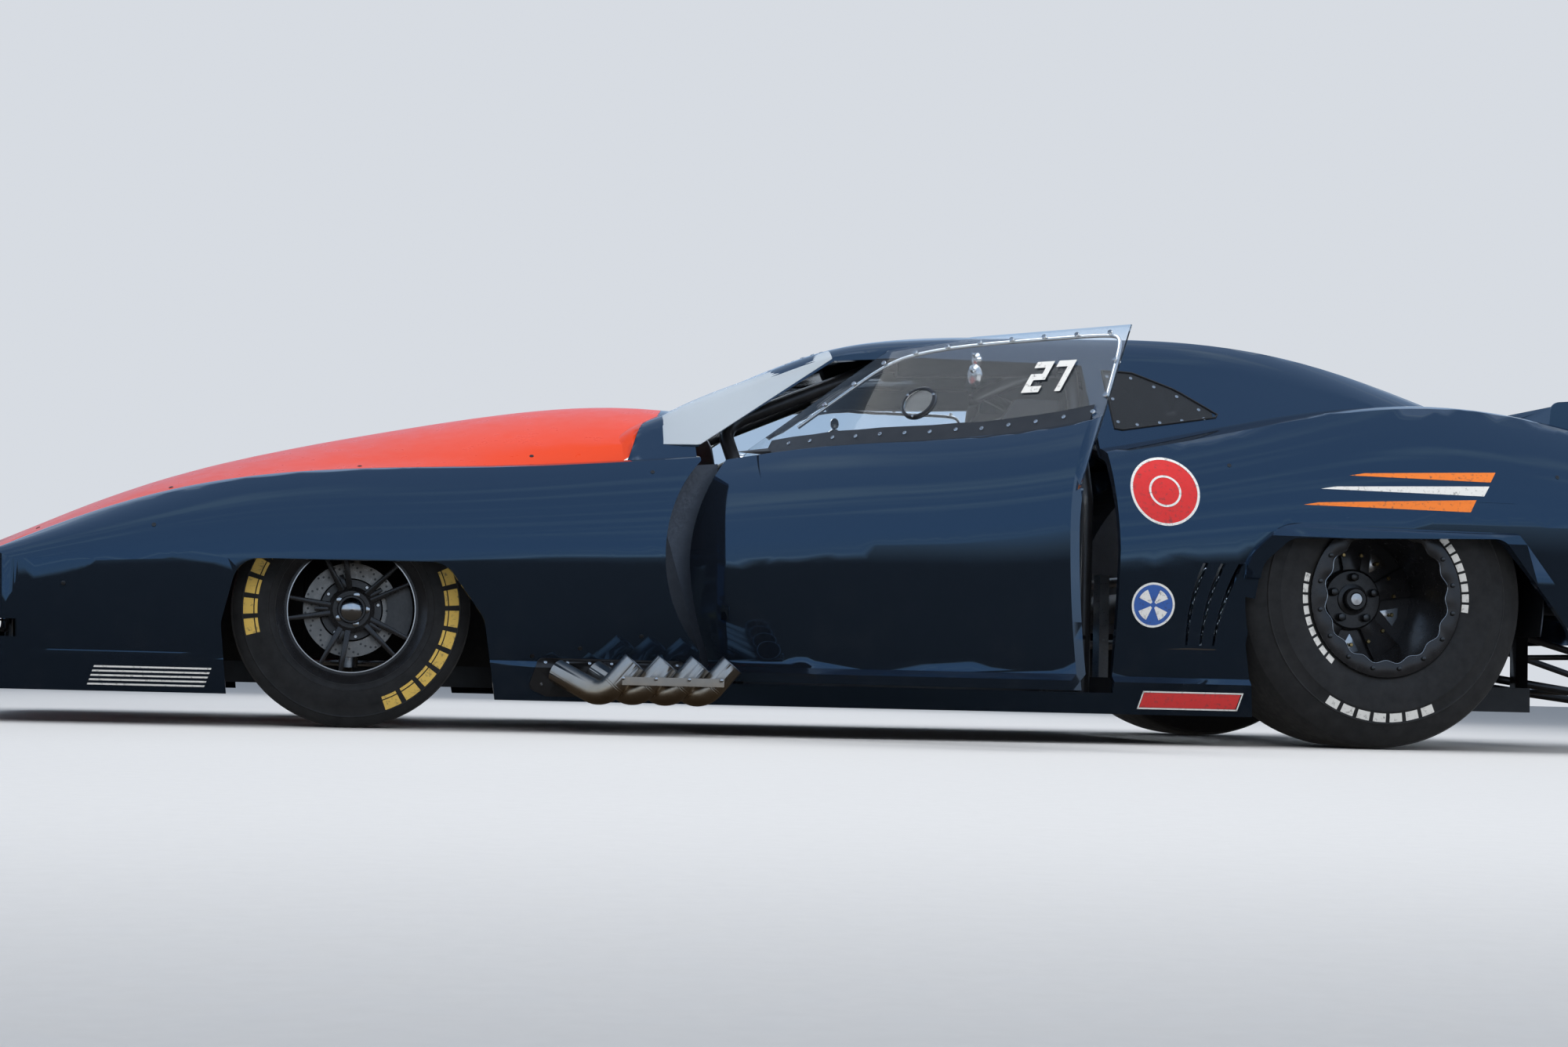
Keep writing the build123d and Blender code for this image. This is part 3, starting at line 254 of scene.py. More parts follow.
def bent_bar(name, points, radius, sides=4, smooth_run=True):
    """A round bar along a smooth curve through the points."""
    deselect()
    bpy.ops.curve.primitive_nurbs_path_add(location=(0, 0, 0))
    piece = bpy.context.object
    piece.name = name
    piece.data.splines.clear()
    spline = piece.data.splines.new("NURBS" if smooth_run else "POLY")
    spline.points.add(len(points) - 1)
    for target, point in zip(spline.points, points):
        target.co = (*point, 1)
    if smooth_run:
        spline.order_u = 3
        spline.use_endpoint_u = True
        spline.resolution_u = 8
    piece.data.bevel_depth = radius
    piece.data.bevel_resolution = sides
    piece.data.use_fill_caps = True
    bpy.ops.object.convert(target="MESH")
    piece = bpy.context.object
    settle(piece)
    return tidy_mesh(piece)


def joined(name, pieces):
    """All the pieces as one object."""
    deselect()
    for piece in pieces:
        piece.select_set(True)
    bpy.context.view_layer.objects.active = pieces[0]
    if len(pieces) > 1:
        bpy.ops.object.join()
    piece = bpy.context.object
    piece.name = name
    return piece


def copied(piece, matrix, name=None):
    """A copy with its own mesh, moved by a matrix."""
    twin = piece.copy()
    twin.data = piece.data.copy()
    twin.data.transform(matrix)
    if matrix.determinant() < 0:
        twin.data.flip_normals()
    bpy.context.scene.collection.objects.link(twin)
    if name:
        twin.name = name
    return twin


def about(centre, axis, angle):
    """The matrix of a turn about an axis through centre."""
    return Matrix.Translation(centre) @ Matrix.Rotation(angle, 4, axis) @ Matrix.Translation(-Vector(centre))


ACROSS = Matrix.Scale(-1, 4, (0, 1, 0))


def dress(piece, finish, body, angle=30, replaces=()):
    """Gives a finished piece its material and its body."""
    piece.data.materials.clear()
    piece.data.materials.append(finish)
    if angle:
        smooth(piece, angle)
    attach(piece, body)
    if replaces:
        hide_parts(*replaces)
    return piece


SURFACES = {}


def surface(*names):
    """The CAD faces of these nodes, to lay things on."""
    if names not in SURFACES:
        corners, faces = [], []
        for name in names:
            mesh = (NODES.get(name) or bpy.data.objects[name]).data
            base = len(corners)
            corners += [v.co.copy() for v in mesh.vertices]
            faces += [[base + i for i in polygon.vertices] for polygon in mesh.polygons]
        SURFACES[names] = BVHTree.FromPolygons(corners, faces)
    return SURFACES[names]


def on_side(nodes, x, z, side, start=1.6):
    """(point, outward normal) where a ray from the side meets the nodes at x and z."""
    point, normal, _, _ = surface(*nodes).ray_cast(Vector((x, side * start, z)), Vector((0, -side, 0)))
    if point is None:
        return None, None
    return point, normal if normal.y * side > 0 else -normal


def on_top(nodes, x, y, start=2.0):
    """(point, upward normal) where a ray from above meets the nodes at x and y."""
    point, normal, _, _ = surface(*nodes).ray_cast(Vector((x, y, start)), Vector((0, 0, -1)))
    if point is None:
        return None, None
    return point, normal if normal.z > 0 else -normal


def met(meet, nodes, places, lift=0.0):
    """(point, normal) pairs where meet, which is on_side or on_top, finds the nodes, lifted off them."""
    found = [meet(nodes, *spot) for spot in places]
    return [(point + normal * lift, normal) for point, normal in found if point]


# Finishes

def finish(name, **sockets):
    """A new material; sockets are values for the shader's own inputs, spaces as underscores."""
    material = bpy.data.materials.new(name)
    material.use_nodes = True
    shader = material.node_tree.nodes["Principled BSDF"]
    for socket, value in sockets.items():
        shader.inputs[socket.replace("_", " ")].default_value = value
    return material


def shader_of(material):
    return material.node_tree.nodes["Principled BSDF"]


def node_in(tree, kind, **sockets):
    """A new node; sockets are values for its own inputs, spaces as underscores."""
    node = tree.nodes.new(kind)
    for socket, value in sockets.items():
        node.inputs[socket.replace("_", " ")].default_value = value
    return node


def place(material, stretch=(1, 1, 1)):
    """Object coordinates, stretched."""
    tree = material.node_tree
    coordinate = node_in(tree, "ShaderNodeTexCoord")
    mapping = node_in(tree, "ShaderNodeMapping", Scale=stretch)
    tree.links.new(coordinate.outputs["Object"], mapping.inputs["Vector"])
    return mapping.outputs["Vector"]


def noise(material, scale, detail=3.0, rough=0.55, stretch=(1, 1, 1)):
    tree = material.node_tree
    texture = node_in(tree, "ShaderNodeTexNoise", Scale=scale, Detail=detail, Roughness=rough)
    tree.links.new(place(material, stretch), texture.inputs["Vector"])
    return texture.outputs["Fac"]


def ramp(material, factor, stops):
    """A colour ramp; stops are (position, colour)."""
    nodes, links = material.node_tree.nodes, material.node_tree.links
    node = nodes.new("ShaderNodeValToRGB")
    elements = node.color_ramp.elements
    while len(elements) < len(stops):
        elements.new(0.5)
    for element, (position, colour) in zip(elements, stops):
        element.position = position
        element.color = (*colour, 1) if len(colour) == 3 else colour
    links.new(factor, node.inputs["Fac"])
    return node.outputs["Color"]


def grey(value):
    return (value, value, value)


def feed(material, socket, source):
    material.node_tree.links.new(source, shader_of(material).inputs[socket])


def vary_roughness(material, low, high, scale, stretch=(1, 1, 1)):
    feed(material, "Roughness", ramp(material, noise(material, scale, 5, 0.6, stretch),
                                     [(0.3, grey(low)), (0.7, grey(high))]))


def bump(material, heights):
    """Stacks bumps; each of heights is (factor output, strength, distance)."""
    tree, links = material.node_tree, material.node_tree.links
    after = None
    for factor, strength, distance in heights:
        node = node_in(tree, "ShaderNodeBump", Strength=strength, Distance=distance)
        links.new(factor, node.inputs["Height"])
        if after:
            links.new(after, node.inputs["Normal"])
        after = node.outputs["Normal"]
    links.new(after, shader_of(material).inputs["Normal"])


def calculate(material, operation, *values):
    """A math node over outputs and numbers."""
    nodes, links = material.node_tree.nodes, material.node_tree.links
    node = nodes.new("ShaderNodeMath")
    node.operation = operation
    for socket, value in zip(node.inputs, values):
        if isinstance(value, (int, float)):
            socket.default_value = value
        else:
            links.new(value, socket)
    return node.outputs["Value"]


def mix(material, factor, low, high):
    """A colour mix; low and high are colours or outputs."""
    nodes, links = material.node_tree.nodes, material.node_tree.links
    node = nodes.new("ShaderNodeMix")
    node.data_type = "RGBA"
    links.new(factor, node.inputs["Factor"])
    for socket, value in ((node.inputs["A"], low), (node.inputs["B"], high)):
        if isinstance(value, tuple):
            socket.default_value = (*value, 1)
        else:
            links.new(value, socket)
    return node.outputs["Result"]


def split_place(material):
    """The X, Y and Z of the place on the car."""
    nodes, links = material.node_tree.nodes, material.node_tree.links
    node = nodes.new("ShaderNodeSeparateXYZ")
    links.new(place(material), node.inputs["Vector"])
    return node.outputs["X"], node.outputs["Y"], node.outputs["Z"]


def gloss_black():
    """Deep, highly polished black panels with faint ripple and a little track dust low down, and a blue
    specular tint that is a painted sky reflection.
    """
    settings = bpy.context.scene.dragcar_paint
    # The blue specular tint colours every reflection on the paint: painted sky reflection.
    paint = finish("gloss_black", IOR=2.0, Specular_Tint=(0.34, 0.64, 1.0, 1))
    _, _, height = split_place(paint)
    low_down = calculate(paint, "SUBTRACT", 1.0, calculate(paint, "MULTIPLY", height, 2.2))
    patches = calculate(paint, "MULTIPLY",
                        ramp(paint, noise(paint, 9, 6, 0.7), [(0.52, grey(0)), (0.80, grey(1))]),
                        low_down)
    dust = calculate(paint, "MAXIMUM", calculate(paint, "MULTIPLY", patches, 0.08), 0.0)
    feed(paint, "Base Color", mix(paint, dust, tuple(settings.body_colour), (0.16, 0.155, 0.15)))
    vary_roughness(paint, 0.03, 0.09, 14)
    bump(paint, [(noise(paint, 3.2, 1), settings.ripple, 0.01), (noise(paint, 420, 2), 0.02, 0.0004)])
    return paint


def gloss_orange():
    """The hood's orange, with a pale pinstripe along its sides."""
    settings = bpy.context.scene.dragcar_paint
    base = tuple(settings.hood_colour)
    paint = finish("gloss_orange", Roughness=0.3, Coat_Weight=0.12, Coat_Roughness=0.08, Coat_IOR=1.3,
                   Specular_IOR_Level=0.15)
    _, across, _ = split_place(paint)
    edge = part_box("hood")[1].y - 0.0055
    stripe = calculate(paint, "GREATER_THAN", calculate(paint, "ABSOLUTE", across), edge)
    shade = mix(paint, noise(paint, 2.3, 4), base, tuple(c * 0.86 for c in base))
    feed(paint, "Base Color", mix(paint, stripe, shade, (0.75, 0.74, 0.72)))
    vary_roughness(paint, 0.26, 0.36, 18)
    bump(paint, [(noise(paint, 3.0, 1), settings.ripple, 0.01), (noise(paint, 420, 2), 0.02, 0.0004)])
    return paint


def tyre_rubber(name, base, grain):
    rubber = finish(name, Specular_IOR_Level=0.35, Sheen_Weight=0.08, Sheen_Roughness=0.5)
    feed(rubber, "Base Color", ramp(rubber, noise(rubber, 26, 6, 0.7),
                                    [(0.3, tuple(c * 0.75 for c in base)),
                                     (0.75, tuple(c * 1.5 for c in base))]))
    vary_roughness(rubber, 0.5, 0.72, 40)
    bump(rubber, [(noise(rubber, grain, 4, 0.7), 0.22, 0.0006), (noise(rubber, 36, 3), 0.08, 0.002)])
    return rubber


def printed_mark(name, base):
    """Moulded and painted marks, rubbed thin in places."""
    ink = finish(name)
    feed(ink, "Base Color", mix(ink, ramp(ink, noise(ink, 90, 5, 0.7), [(0.55, grey(0)), (0.75, grey(1))]),
                                tuple(base), (0.05, 0.05, 0.05)))
    vary_roughness(ink, 0.5, 0.7, 60)
    bump(ink, [(noise(ink, 300, 3), 0.15, 0.0004)])
    return ink


def satin_black(name="satin_black", base=(0.012, 0.012, 0.013), low=0.28, high=0.42):
    coat = finish(name, Coat_Weight=0.25, Coat_Roughness=0.25)
    feed(coat, "Base Color",
         ramp(coat, noise(coat, 30, 5), [(0.3, base), (0.8, tuple(c * 1.7 for c in base))]))
    vary_roughness(coat, low, high, 45)
    bump(coat, [(noise(coat, 700, 3), 0.08, 0.0003)])
    return coat


def metal(name, base, low, high, grain=(1, 1, 1), scale=180, depth=0.12):
    steel = finish(name, Metallic=1.0)
    feed(steel, "Base Color", ramp(steel, noise(steel, scale / 9, 5, 0.6, grain),
                                   [(0.25, tuple(c * 0.82 for c in base)), (0.8, base)]))
    vary_roughness(steel, low, high, scale, grain)
    bump(steel, [(noise(steel, scale * 2, 3, 0.6, grain), depth, 0.0003)])
    return steel


def heat_tinted():
    """Stainless tube, straw and brown at its hot low bends and grey near the outlets."""
    steel = finish("heat_tinted", Metallic=1.0)
    _, _, height = split_place(steel)
    reach = calculate(steel, "ADD", calculate(steel, "MULTIPLY", height, 4.0),
                      calculate(steel, "MULTIPLY", noise(steel, 16, 4), 0.16))
    feed(steel, "Base Color", ramp(steel, reach, [
        (0.42, (0.46, 0.34, 0.22)), (0.54, (0.58, 0.45, 0.31)), (0.66, (0.60, 0.52, 0.43)),
        (0.84, (0.58, 0.54, 0.49)),
    ]))
    vary_roughness(steel, 0.27, 0.42, 60)
    bump(steel, [(noise(steel, 600, 3), 0.04, 0.0002)])
    return steel


def clear_sheet(name, tint, see_through=1.0, rough=0.0):
    """Thin plastic window sheet, a little milky here and there."""
    sheet = finish(name, Transmission_Weight=see_through, IOR=1.3, Roughness=rough)
    feed(sheet, "Base Color",
         ramp(sheet, noise(sheet, 5, 5, 0.6), [(0.3, tuple(c * 0.97 for c in tint)), (0.7, tint)]))
    return sheet


def lens(name, base):
    glass = finish(name, Base_Color=(*base, 1), Transmission_Weight=0.5, IOR=1.49, Coat_Weight=1.0,
                   Coat_Roughness=0.02)
    wave = node_in(glass.node_tree, "ShaderNodeTexWave", Scale=28)
    wave.bands_direction = "Y"
    glass.node_tree.links.new(place(glass), wave.inputs["Vector"])
    bump(glass, [(wave.outputs["Fac"], 0.25, 0.002)])
    vary_roughness(glass, 0.05, 0.12, 50)
    return glass


def woven(name, base, threads, sheen=0.3):
    """Plain-weave cloth or webbing, with painted shade between the threads."""
    cloth = finish(name, Sheen_Weight=sheen, Sheen_Roughness=0.4, Specular_IOR_Level=0.2)
    heights = []
    for direction in ("X", "Z"):
        wave = node_in(cloth.node_tree, "ShaderNodeTexWave", Scale=threads, Distortion=0.4)
        wave.bands_direction = direction
        cloth.node_tree.links.new(place(cloth), wave.inputs["Vector"])
        heights.append(wave.outputs["Fac"])
    weave = calculate(cloth, "MULTIPLY", *heights)
    # The weave's low places darken to 0.55 of the base: painted shade between the threads.
    dark = tuple(c * 0.55 for c in base)
    worn = mix(cloth, noise(cloth, 12, 5), base, tuple(min(1, c * 1.35) for c in base))
    feed(cloth, "Base Color", mix(cloth, weave, dark, worn))
    vary_roughness(cloth, 0.75, 0.92, 60)
    bump(cloth, [(weave, 0.4, 0.0008), (noise(cloth, 15, 4), 0.2, 0.004)])
    return cloth


def moulded(name, base, low=0.42, high=0.58):
    """Textured moulded plastic."""
    plastic = finish(name)
    feed(plastic, "Base Color",
         ramp(plastic, noise(plastic, 20, 4), [(0.3, base), (0.8, tuple(c * 1.4 for c in base))]))
    vary_roughness(plastic, low, high, 60)
    bump(plastic, [(noise(plastic, 900, 3), 0.15, 0.0003)])
    return plastic


FINISHES = {}


def finish_of(name):
    """The finish of this name; all are made at the first call."""
    if not FINISHES:
        tyres = bpy.context.scene.dragcar_tyres
        FINISHES.update({
            "black_paint": gloss_black(),
            "orange_paint": gloss_orange(),
            "red_lens": lens("tail_lens", (0.28, 0.006, 0.008)),
            "clear_lens": lens("lamp_lens", (0.75, 0.77, 0.8)),
            "black_plastic": moulded("black_plastic", (0.011, 0.011, 0.012)),
            "polycarbonate": clear_sheet("polycarbonate", (0.94, 0.965, 0.975)),
            # The pale blue-grey base of window_edge, over the opaque painted body, is painted sky reflection
            # and painted brightness seen through glass.
            "window_edge": clear_sheet("window_edge", (0.50, 0.56, 0.62), 0.3, 0.06),
            "tinted_window": clear_sheet("tinted_window", (0.035, 0.038, 0.042), 0.35, 0.03),
            "frame_black": satin_black("frame_black", (0.010, 0.010, 0.011), 0.3, 0.45),
            "floor_alloy": metal("floor_alloy", (0.20, 0.20, 0.21), 0.4, 0.55, (1, 4, 1)),
            "bare_steel": metal("bare_steel", (0.50, 0.49, 0.48), 0.25, 0.4),
            "cast_grey": metal("cast_grey", (0.18, 0.18, 0.185), 0.45, 0.6, depth=0.3),
            "heat_steel": heat_tinted(),
            "wheel_black": satin_black("wheel_black", (0.010, 0.010, 0.011), 0.16, 0.3),
            "tyre": tyre_rubber("tyre_rubber", (0.013, 0.013, 0.0135), 520),
            "wheelie_rubber": tyre_rubber("wheelie_rubber", (0.02, 0.02, 0.02), 300),
            "pack_cloth": woven("pack_cloth", (0.020, 0.020, 0.024), 130),
            "seat_black": moulded("seat_black", (0.014, 0.014, 0.015), 0.55, 0.75),
            "machined": metal("machined", (0.72, 0.72, 0.72), 0.12, 0.22, scale=260, depth=0.05),
            "dark_metal": metal("dark_metal", (0.13, 0.125, 0.12), 0.28, 0.42),
            "worn_disc": metal("worn_disc", (0.33, 0.31, 0.285), 0.24, 0.36, (1, 1, 1), 90, 0.08),
            "liner_black": satin_black("liner_black", (0.006, 0.006, 0.006), 0.55, 0.75),
            "brass": metal("brass", (0.62, 0.45, 0.2), 0.2, 0.32),
            "front_marks": printed_mark("front_marks", tyres.front_mark_colour),
            "rear_marks": printed_mark("rear_marks", tyres.rear_mark_colour),
            "seal": tyre_rubber("seal_rubber", (0.009, 0.009, 0.0095), 240),
            "seat_cloth": woven("seat_cloth", (0.016, 0.016, 0.018), 220),
            "blue_webbing": woven("blue_webbing", (0.02, 0.09, 0.32), 260),
            "black_webbing": woven("black_webbing", (0.013, 0.013, 0.014), 260),
            "white_mark": printed_mark("white_mark", (0.72, 0.72, 0.70)),
            "red_mark": printed_mark("red_mark", (0.60, 0.03, 0.03)),
            "blue_mark": printed_mark("blue_mark", (0.03, 0.10, 0.36)),
            "orange_mark": printed_mark("orange_mark", (0.80, 0.20, 0.03)),
        })
    return FINISHES[name]


# The pieces

CAMERA_PLACE = (-1.6552, -7.5651, 0.1640)
CAMERA_LENS = 57.23
CAMERA_YAW, CAMERA_PITCH, CAMERA_ROLL = radians(11.42), radians(3.53), radians(1.44)
FLOOR_SPAN = 60


class DRAGCAR_OT_stage(bpy.types.Operator):
    """Set the floor, backdrop, lamps and camera"""

    bl_idname = "dragcar.stage"
    bl_label = "Stage"

    def execute(self, context):
        self.add_floor(context)
        self.add_lamps(context)
        self.add_world(context)
        self.add_camera(context)
        context.scene.view_settings.view_transform = "Standard"
        return {"FINISHED"}

    def add_floor(self, context):
        colour = tuple(context.scene.dragcar_stage.floor_colour)
        deselect()
        bpy.ops.mesh.primitive_plane_add(size=1, location=(0, 0, -0.0005))
        floor = bpy.context.object
        floor.name = "floor"
        floor.scale = (FLOOR_SPAN, FLOOR_SPAN, 1)
        settle(floor)
        ground = finish("pale_floor", Specular_IOR_Level=0.2)
        feed(ground, "Base Color", ramp(ground, noise(ground, 60, 4), [
            (0.3, tuple(c * 0.96 for c in colour)), (0.7, colour),
        ]))
        vary_roughness(ground, 0.6, 0.8, 30)
        floor.data.materials.append(ground)
        floor.visible_glossy = False

    def add_lamps(self, context):
        """Large soft lamps; the rows are name, share of the power, size, place and aim."""
        for name, share, size, place_at, aim in (
            ("overhead", 1.0, (7.5, 3.6), (0.2, -0.6, 4.6), (0.1, 0, 0.6)),
            ("near_side", 0.75, (8.0, 1.6), (-0.5, -6.4, 3.0), (0, 0, 0.6)),
            ("far_side", 0.5, (6.0, 2.0), (0.5, 5.5, 3.2), (0, 0, 0.8)),
            ("tail_side", 0.35, (2.6, 2.6), (6.6, -2.6, 2.8), (1.5, 0, 0.6)),
        ):
            lamp = bpy.data.lights.new(name, "AREA")
            lamp.shape = "RECTANGLE"
            lamp.size, lamp.size_y = size
            lamp.energy = context.scene.dragcar_stage.lamp_power * share
            holder = bpy.data.objects.new(name, lamp)
            holder.visible_glossy = False
            holder.location = place_at
            holder.rotation_euler = (Vector(aim) - Vector(place_at)).to_track_quat("-Z", "Y").to_euler()
            context.scene.collection.objects.link(holder)

    def add_world(self, context):
        """An even backdrop for the camera, soft light, and in reflections a streaked sky over dark ground."""
        world = bpy.data.worlds.new("studio")
        context.scene.world = world
        world.use_nodes = True
        tree, nodes, links = world.node_tree, world.node_tree.nodes, world.node_tree.links
        backdrop = nodes["Background"]
        backdrop.inputs["Color"].default_value = (0.80, 0.84, 0.90, 1)
        backdrop.inputs["Strength"].default_value = 0.85
        softly = node_in(tree, "ShaderNodeBackground", Color=(0.72, 0.80, 0.92, 1), Strength=0.42)
        sky = node_in(tree, "ShaderNodeBackground")
        direction = node_in(tree, "ShaderNodeTexCoord")
        height = node_in(tree, "ShaderNodeSeparateXYZ")
        halved = node_in(tree, "ShaderNodeMath")
        halved.operation = "MULTIPLY_ADD"
        halved.inputs[1].default_value = 0.5
        halved.inputs[2].default_value = 0.5
        links.new(direction.outputs["Generated"], height.inputs["Vector"])
        links.new(height.outputs["Z"], halved.inputs[0])
        ground = ((0.0, (0.030, 0.027, 0.024)), (0.465, (0.050, 0.046, 0.042)), (0.488, (0.30, 0.30, 0.31)))
        shades = []
        for above in (
            ((0.515, (0.42, 0.54, 0.70)), (0.62, (0.36, 0.51, 0.74)), (1.0, (0.34, 0.46, 0.66))),
            ((0.515, (0.82, 0.86, 0.92)), (0.62, (0.76, 0.82, 0.90)), (1.0, (0.62, 0.70, 0.80))),
        ):
            shade = nodes.new("ShaderNodeValToRGB")
            elements = shade.color_ramp.elements
            for index, (position, colour) in enumerate(ground + above):
                element = elements[index] if index < 2 else elements.new(position)
                element.position = position
                element.color = (*colour, 1)
            links.new(halved.outputs["Value"], shade.inputs["Fac"])
            shades.append(shade)
        stretched = node_in(tree, "ShaderNodeMapping", Scale=(2.2, 2.2, 13))
        streaks = node_in(tree, "ShaderNodeTexNoise", Scale=1.3, Detail=4)
        thinned = node_in(tree, "ShaderNodeMapRange", From_Min=0.52, From_Max=0.70)
        cloudy = node_in(tree, "ShaderNodeMix")
        cloudy.data_type = "RGBA"
        links.new(direction.outputs["Generated"], stretched.inputs["Vector"])
        links.new(stretched.outputs["Vector"], streaks.inputs["Vector"])
        links.new(streaks.outputs["Fac"], thinned.inputs["Value"])
        links.new(thinned.outputs["Result"], cloudy.inputs["Factor"])
        links.new(shades[0].outputs["Color"], cloudy.inputs["A"])
        links.new(shades[1].outputs["Color"], cloudy.inputs["B"])
        links.new(cloudy.outputs["Result"], sky.inputs["Color"])
        path = nodes.new("ShaderNodeLightPath")
        either = nodes.new("ShaderNodeMixShader")
        mirrored = nodes.new("ShaderNodeMixShader")
        links.new(path.outputs["Is Glossy Ray"], mirrored.inputs["Fac"])
        links.new(softly.outputs["Background"], mirrored.inputs[1])
        links.new(sky.outputs["Background"], mirrored.inputs[2])
        links.new(path.outputs["Is Camera Ray"], either.inputs["Fac"])
        links.new(mirrored.outputs["Shader"], either.inputs[1])
        links.new(backdrop.outputs["Background"], either.inputs[2])
        links.new(either.outputs["Shader"], nodes["World Output"].inputs["Surface"])

    def add_camera(self, context):
        """The camera at the photograph's place and angle."""
        yaw, pitch, roll = CAMERA_YAW, CAMERA_PITCH, CAMERA_ROLL
        ahead = Vector((sin(yaw), cos(yaw), 0))
        right = Vector((cos(yaw), -sin(yaw), 0))
        up = Vector((0, 0, 1))
        look = ahead * cos(pitch) + up * sin(pitch)
        lift = up * cos(pitch) - ahead * sin(pitch)
        turned_right = right * cos(roll) + lift * sin(roll)
        turned_up = lift * cos(roll) - right * sin(roll)
        camera = bpy.data.cameras.new("camera")
        camera.sensor_width = 36
        camera.lens = CAMERA_LENS
        camera.clip_start = 0.05
        camera.clip_end = 200
        holder = bpy.data.objects.new("camera", camera)
        turn = Matrix((turned_right, turned_up, -look)).transposed().to_4x4()
        holder.matrix_world = Matrix.Translation(CAMERA_PLACE) @ turn
        context.scene.collection.objects.link(holder)
        context.scene.camera = holder


# Clean highlights on the body

# Body sections: x, corners (y, z) from the sill up, and the crown's height
SECTIONS = (
    (-2.560, (0.773, 0.084), (0.813, 0.174), (0.812, 0.190), (0.862, 0.352), (0.775, 0.372), (0.690, 0.380),
     (0.650, 0.387), 0.452),
    (-2.230, (0.809, 0.084), (0.849, 0.174), (0.848, 0.190), (0.896, 0.412), (0.795, 0.512), (0.700, 0.522),
     (0.650, 0.532), 0.596),
    (-1.800, (0.823, 0.084), (0.863, 0.174), (0.862, 0.190), (0.912, 0.438), (0.805, 0.645), (0.700, 0.657),
     (0.650, 0.670), 0.756),
    (-1.200, (0.830, 0.084), (0.870, 0.174), (0.868, 0.190), (0.920, 0.458), (0.812, 0.705), (0.700, 0.716),
     (0.645, 0.740), 0.898),
    (-0.600, (0.848, 0.084), (0.888, 0.174), (0.874, 0.190), (0.926, 0.478), (0.820, 0.755), (0.700, 0.762),
     (0.640, 0.820), 0.968),
    (0.020, (0.862, 0.084), (0.902, 0.174), (0.878, 0.190), (0.930, 0.510), (0.824, 0.790), (0.700, 0.802),
     (0.650, 0.811), 0.862),
    (0.640, (0.868, 0.084), (0.908, 0.174), (0.884, 0.190), (0.932, 0.541), (0.832, 0.822), (0.700, 0.850),
     (0.650, 0.858), 0.905),
    (1.180, (0.856, 0.084), (0.896, 0.174), (0.892, 0.190), (0.950, 0.622), (0.836, 0.936), (0.700, 0.958),
     (0.650, 0.964), 1.004),
    (1.540, (0.861, 0.084), (0.901, 0.174), (0.900, 0.190), (0.960, 0.646), (0.838, 0.990), (0.700, 1.008),
     (0.650, 1.014), 1.050),
    (2.060, (0.856, 0.084), (0.896, 0.174), (0.895, 0.190), (0.955, 0.652), (0.832, 0.950), (0.700, 0.978),
     (0.650, 0.987), 1.040),
    (2.600, (0.823, 0.084), (0.863, 0.174), (0.862, 0.190), (0.915, 0.628), (0.800, 0.905), (0.690, 0.930),
     (0.640, 0.938), 0.985),
)
SECTION_BULGES = (0, 0, 0.010, 0.024, 0.005, 0)
# Sections of the roof and its pillars, with the same columns
HOUSE = (
    (-0.790, (0.800, 0.650), (0.640, 0.722), (0.560, 0.760), 0.800),
    (-0.600, (0.840, 0.650), (0.640, 0.872), (0.560, 0.900), 0.924),
    (-0.340, (0.872, 0.650), (0.632, 1.000), (0.548, 1.020), 1.040),
    (-0.080, (0.880, 0.650), (0.618, 1.094), (0.532, 1.124), 1.150),
    (0.150, (0.880, 0.650), (0.604, 1.112), (0.522, 1.160), 1.203),
    (0.640, (0.880, 0.650), (0.596, 1.120), (0.516, 1.188), 1.232),
    (1.000, (0.882, 0.650), (0.598, 1.112), (0.514, 1.194), 1.239),
    (1.320, (0.890, 0.650), (0.616, 1.064), (0.512, 1.160), 1.204),
    (1.640, (0.900, 0.650), (0.650, 0.990), (0.512, 1.078), 1.116),
    (1.930, (0.900, 0.650), (0.670, 0.900), (0.520, 0.985), 1.020),
)
HOUSE_BULGES = (0, 0.008)


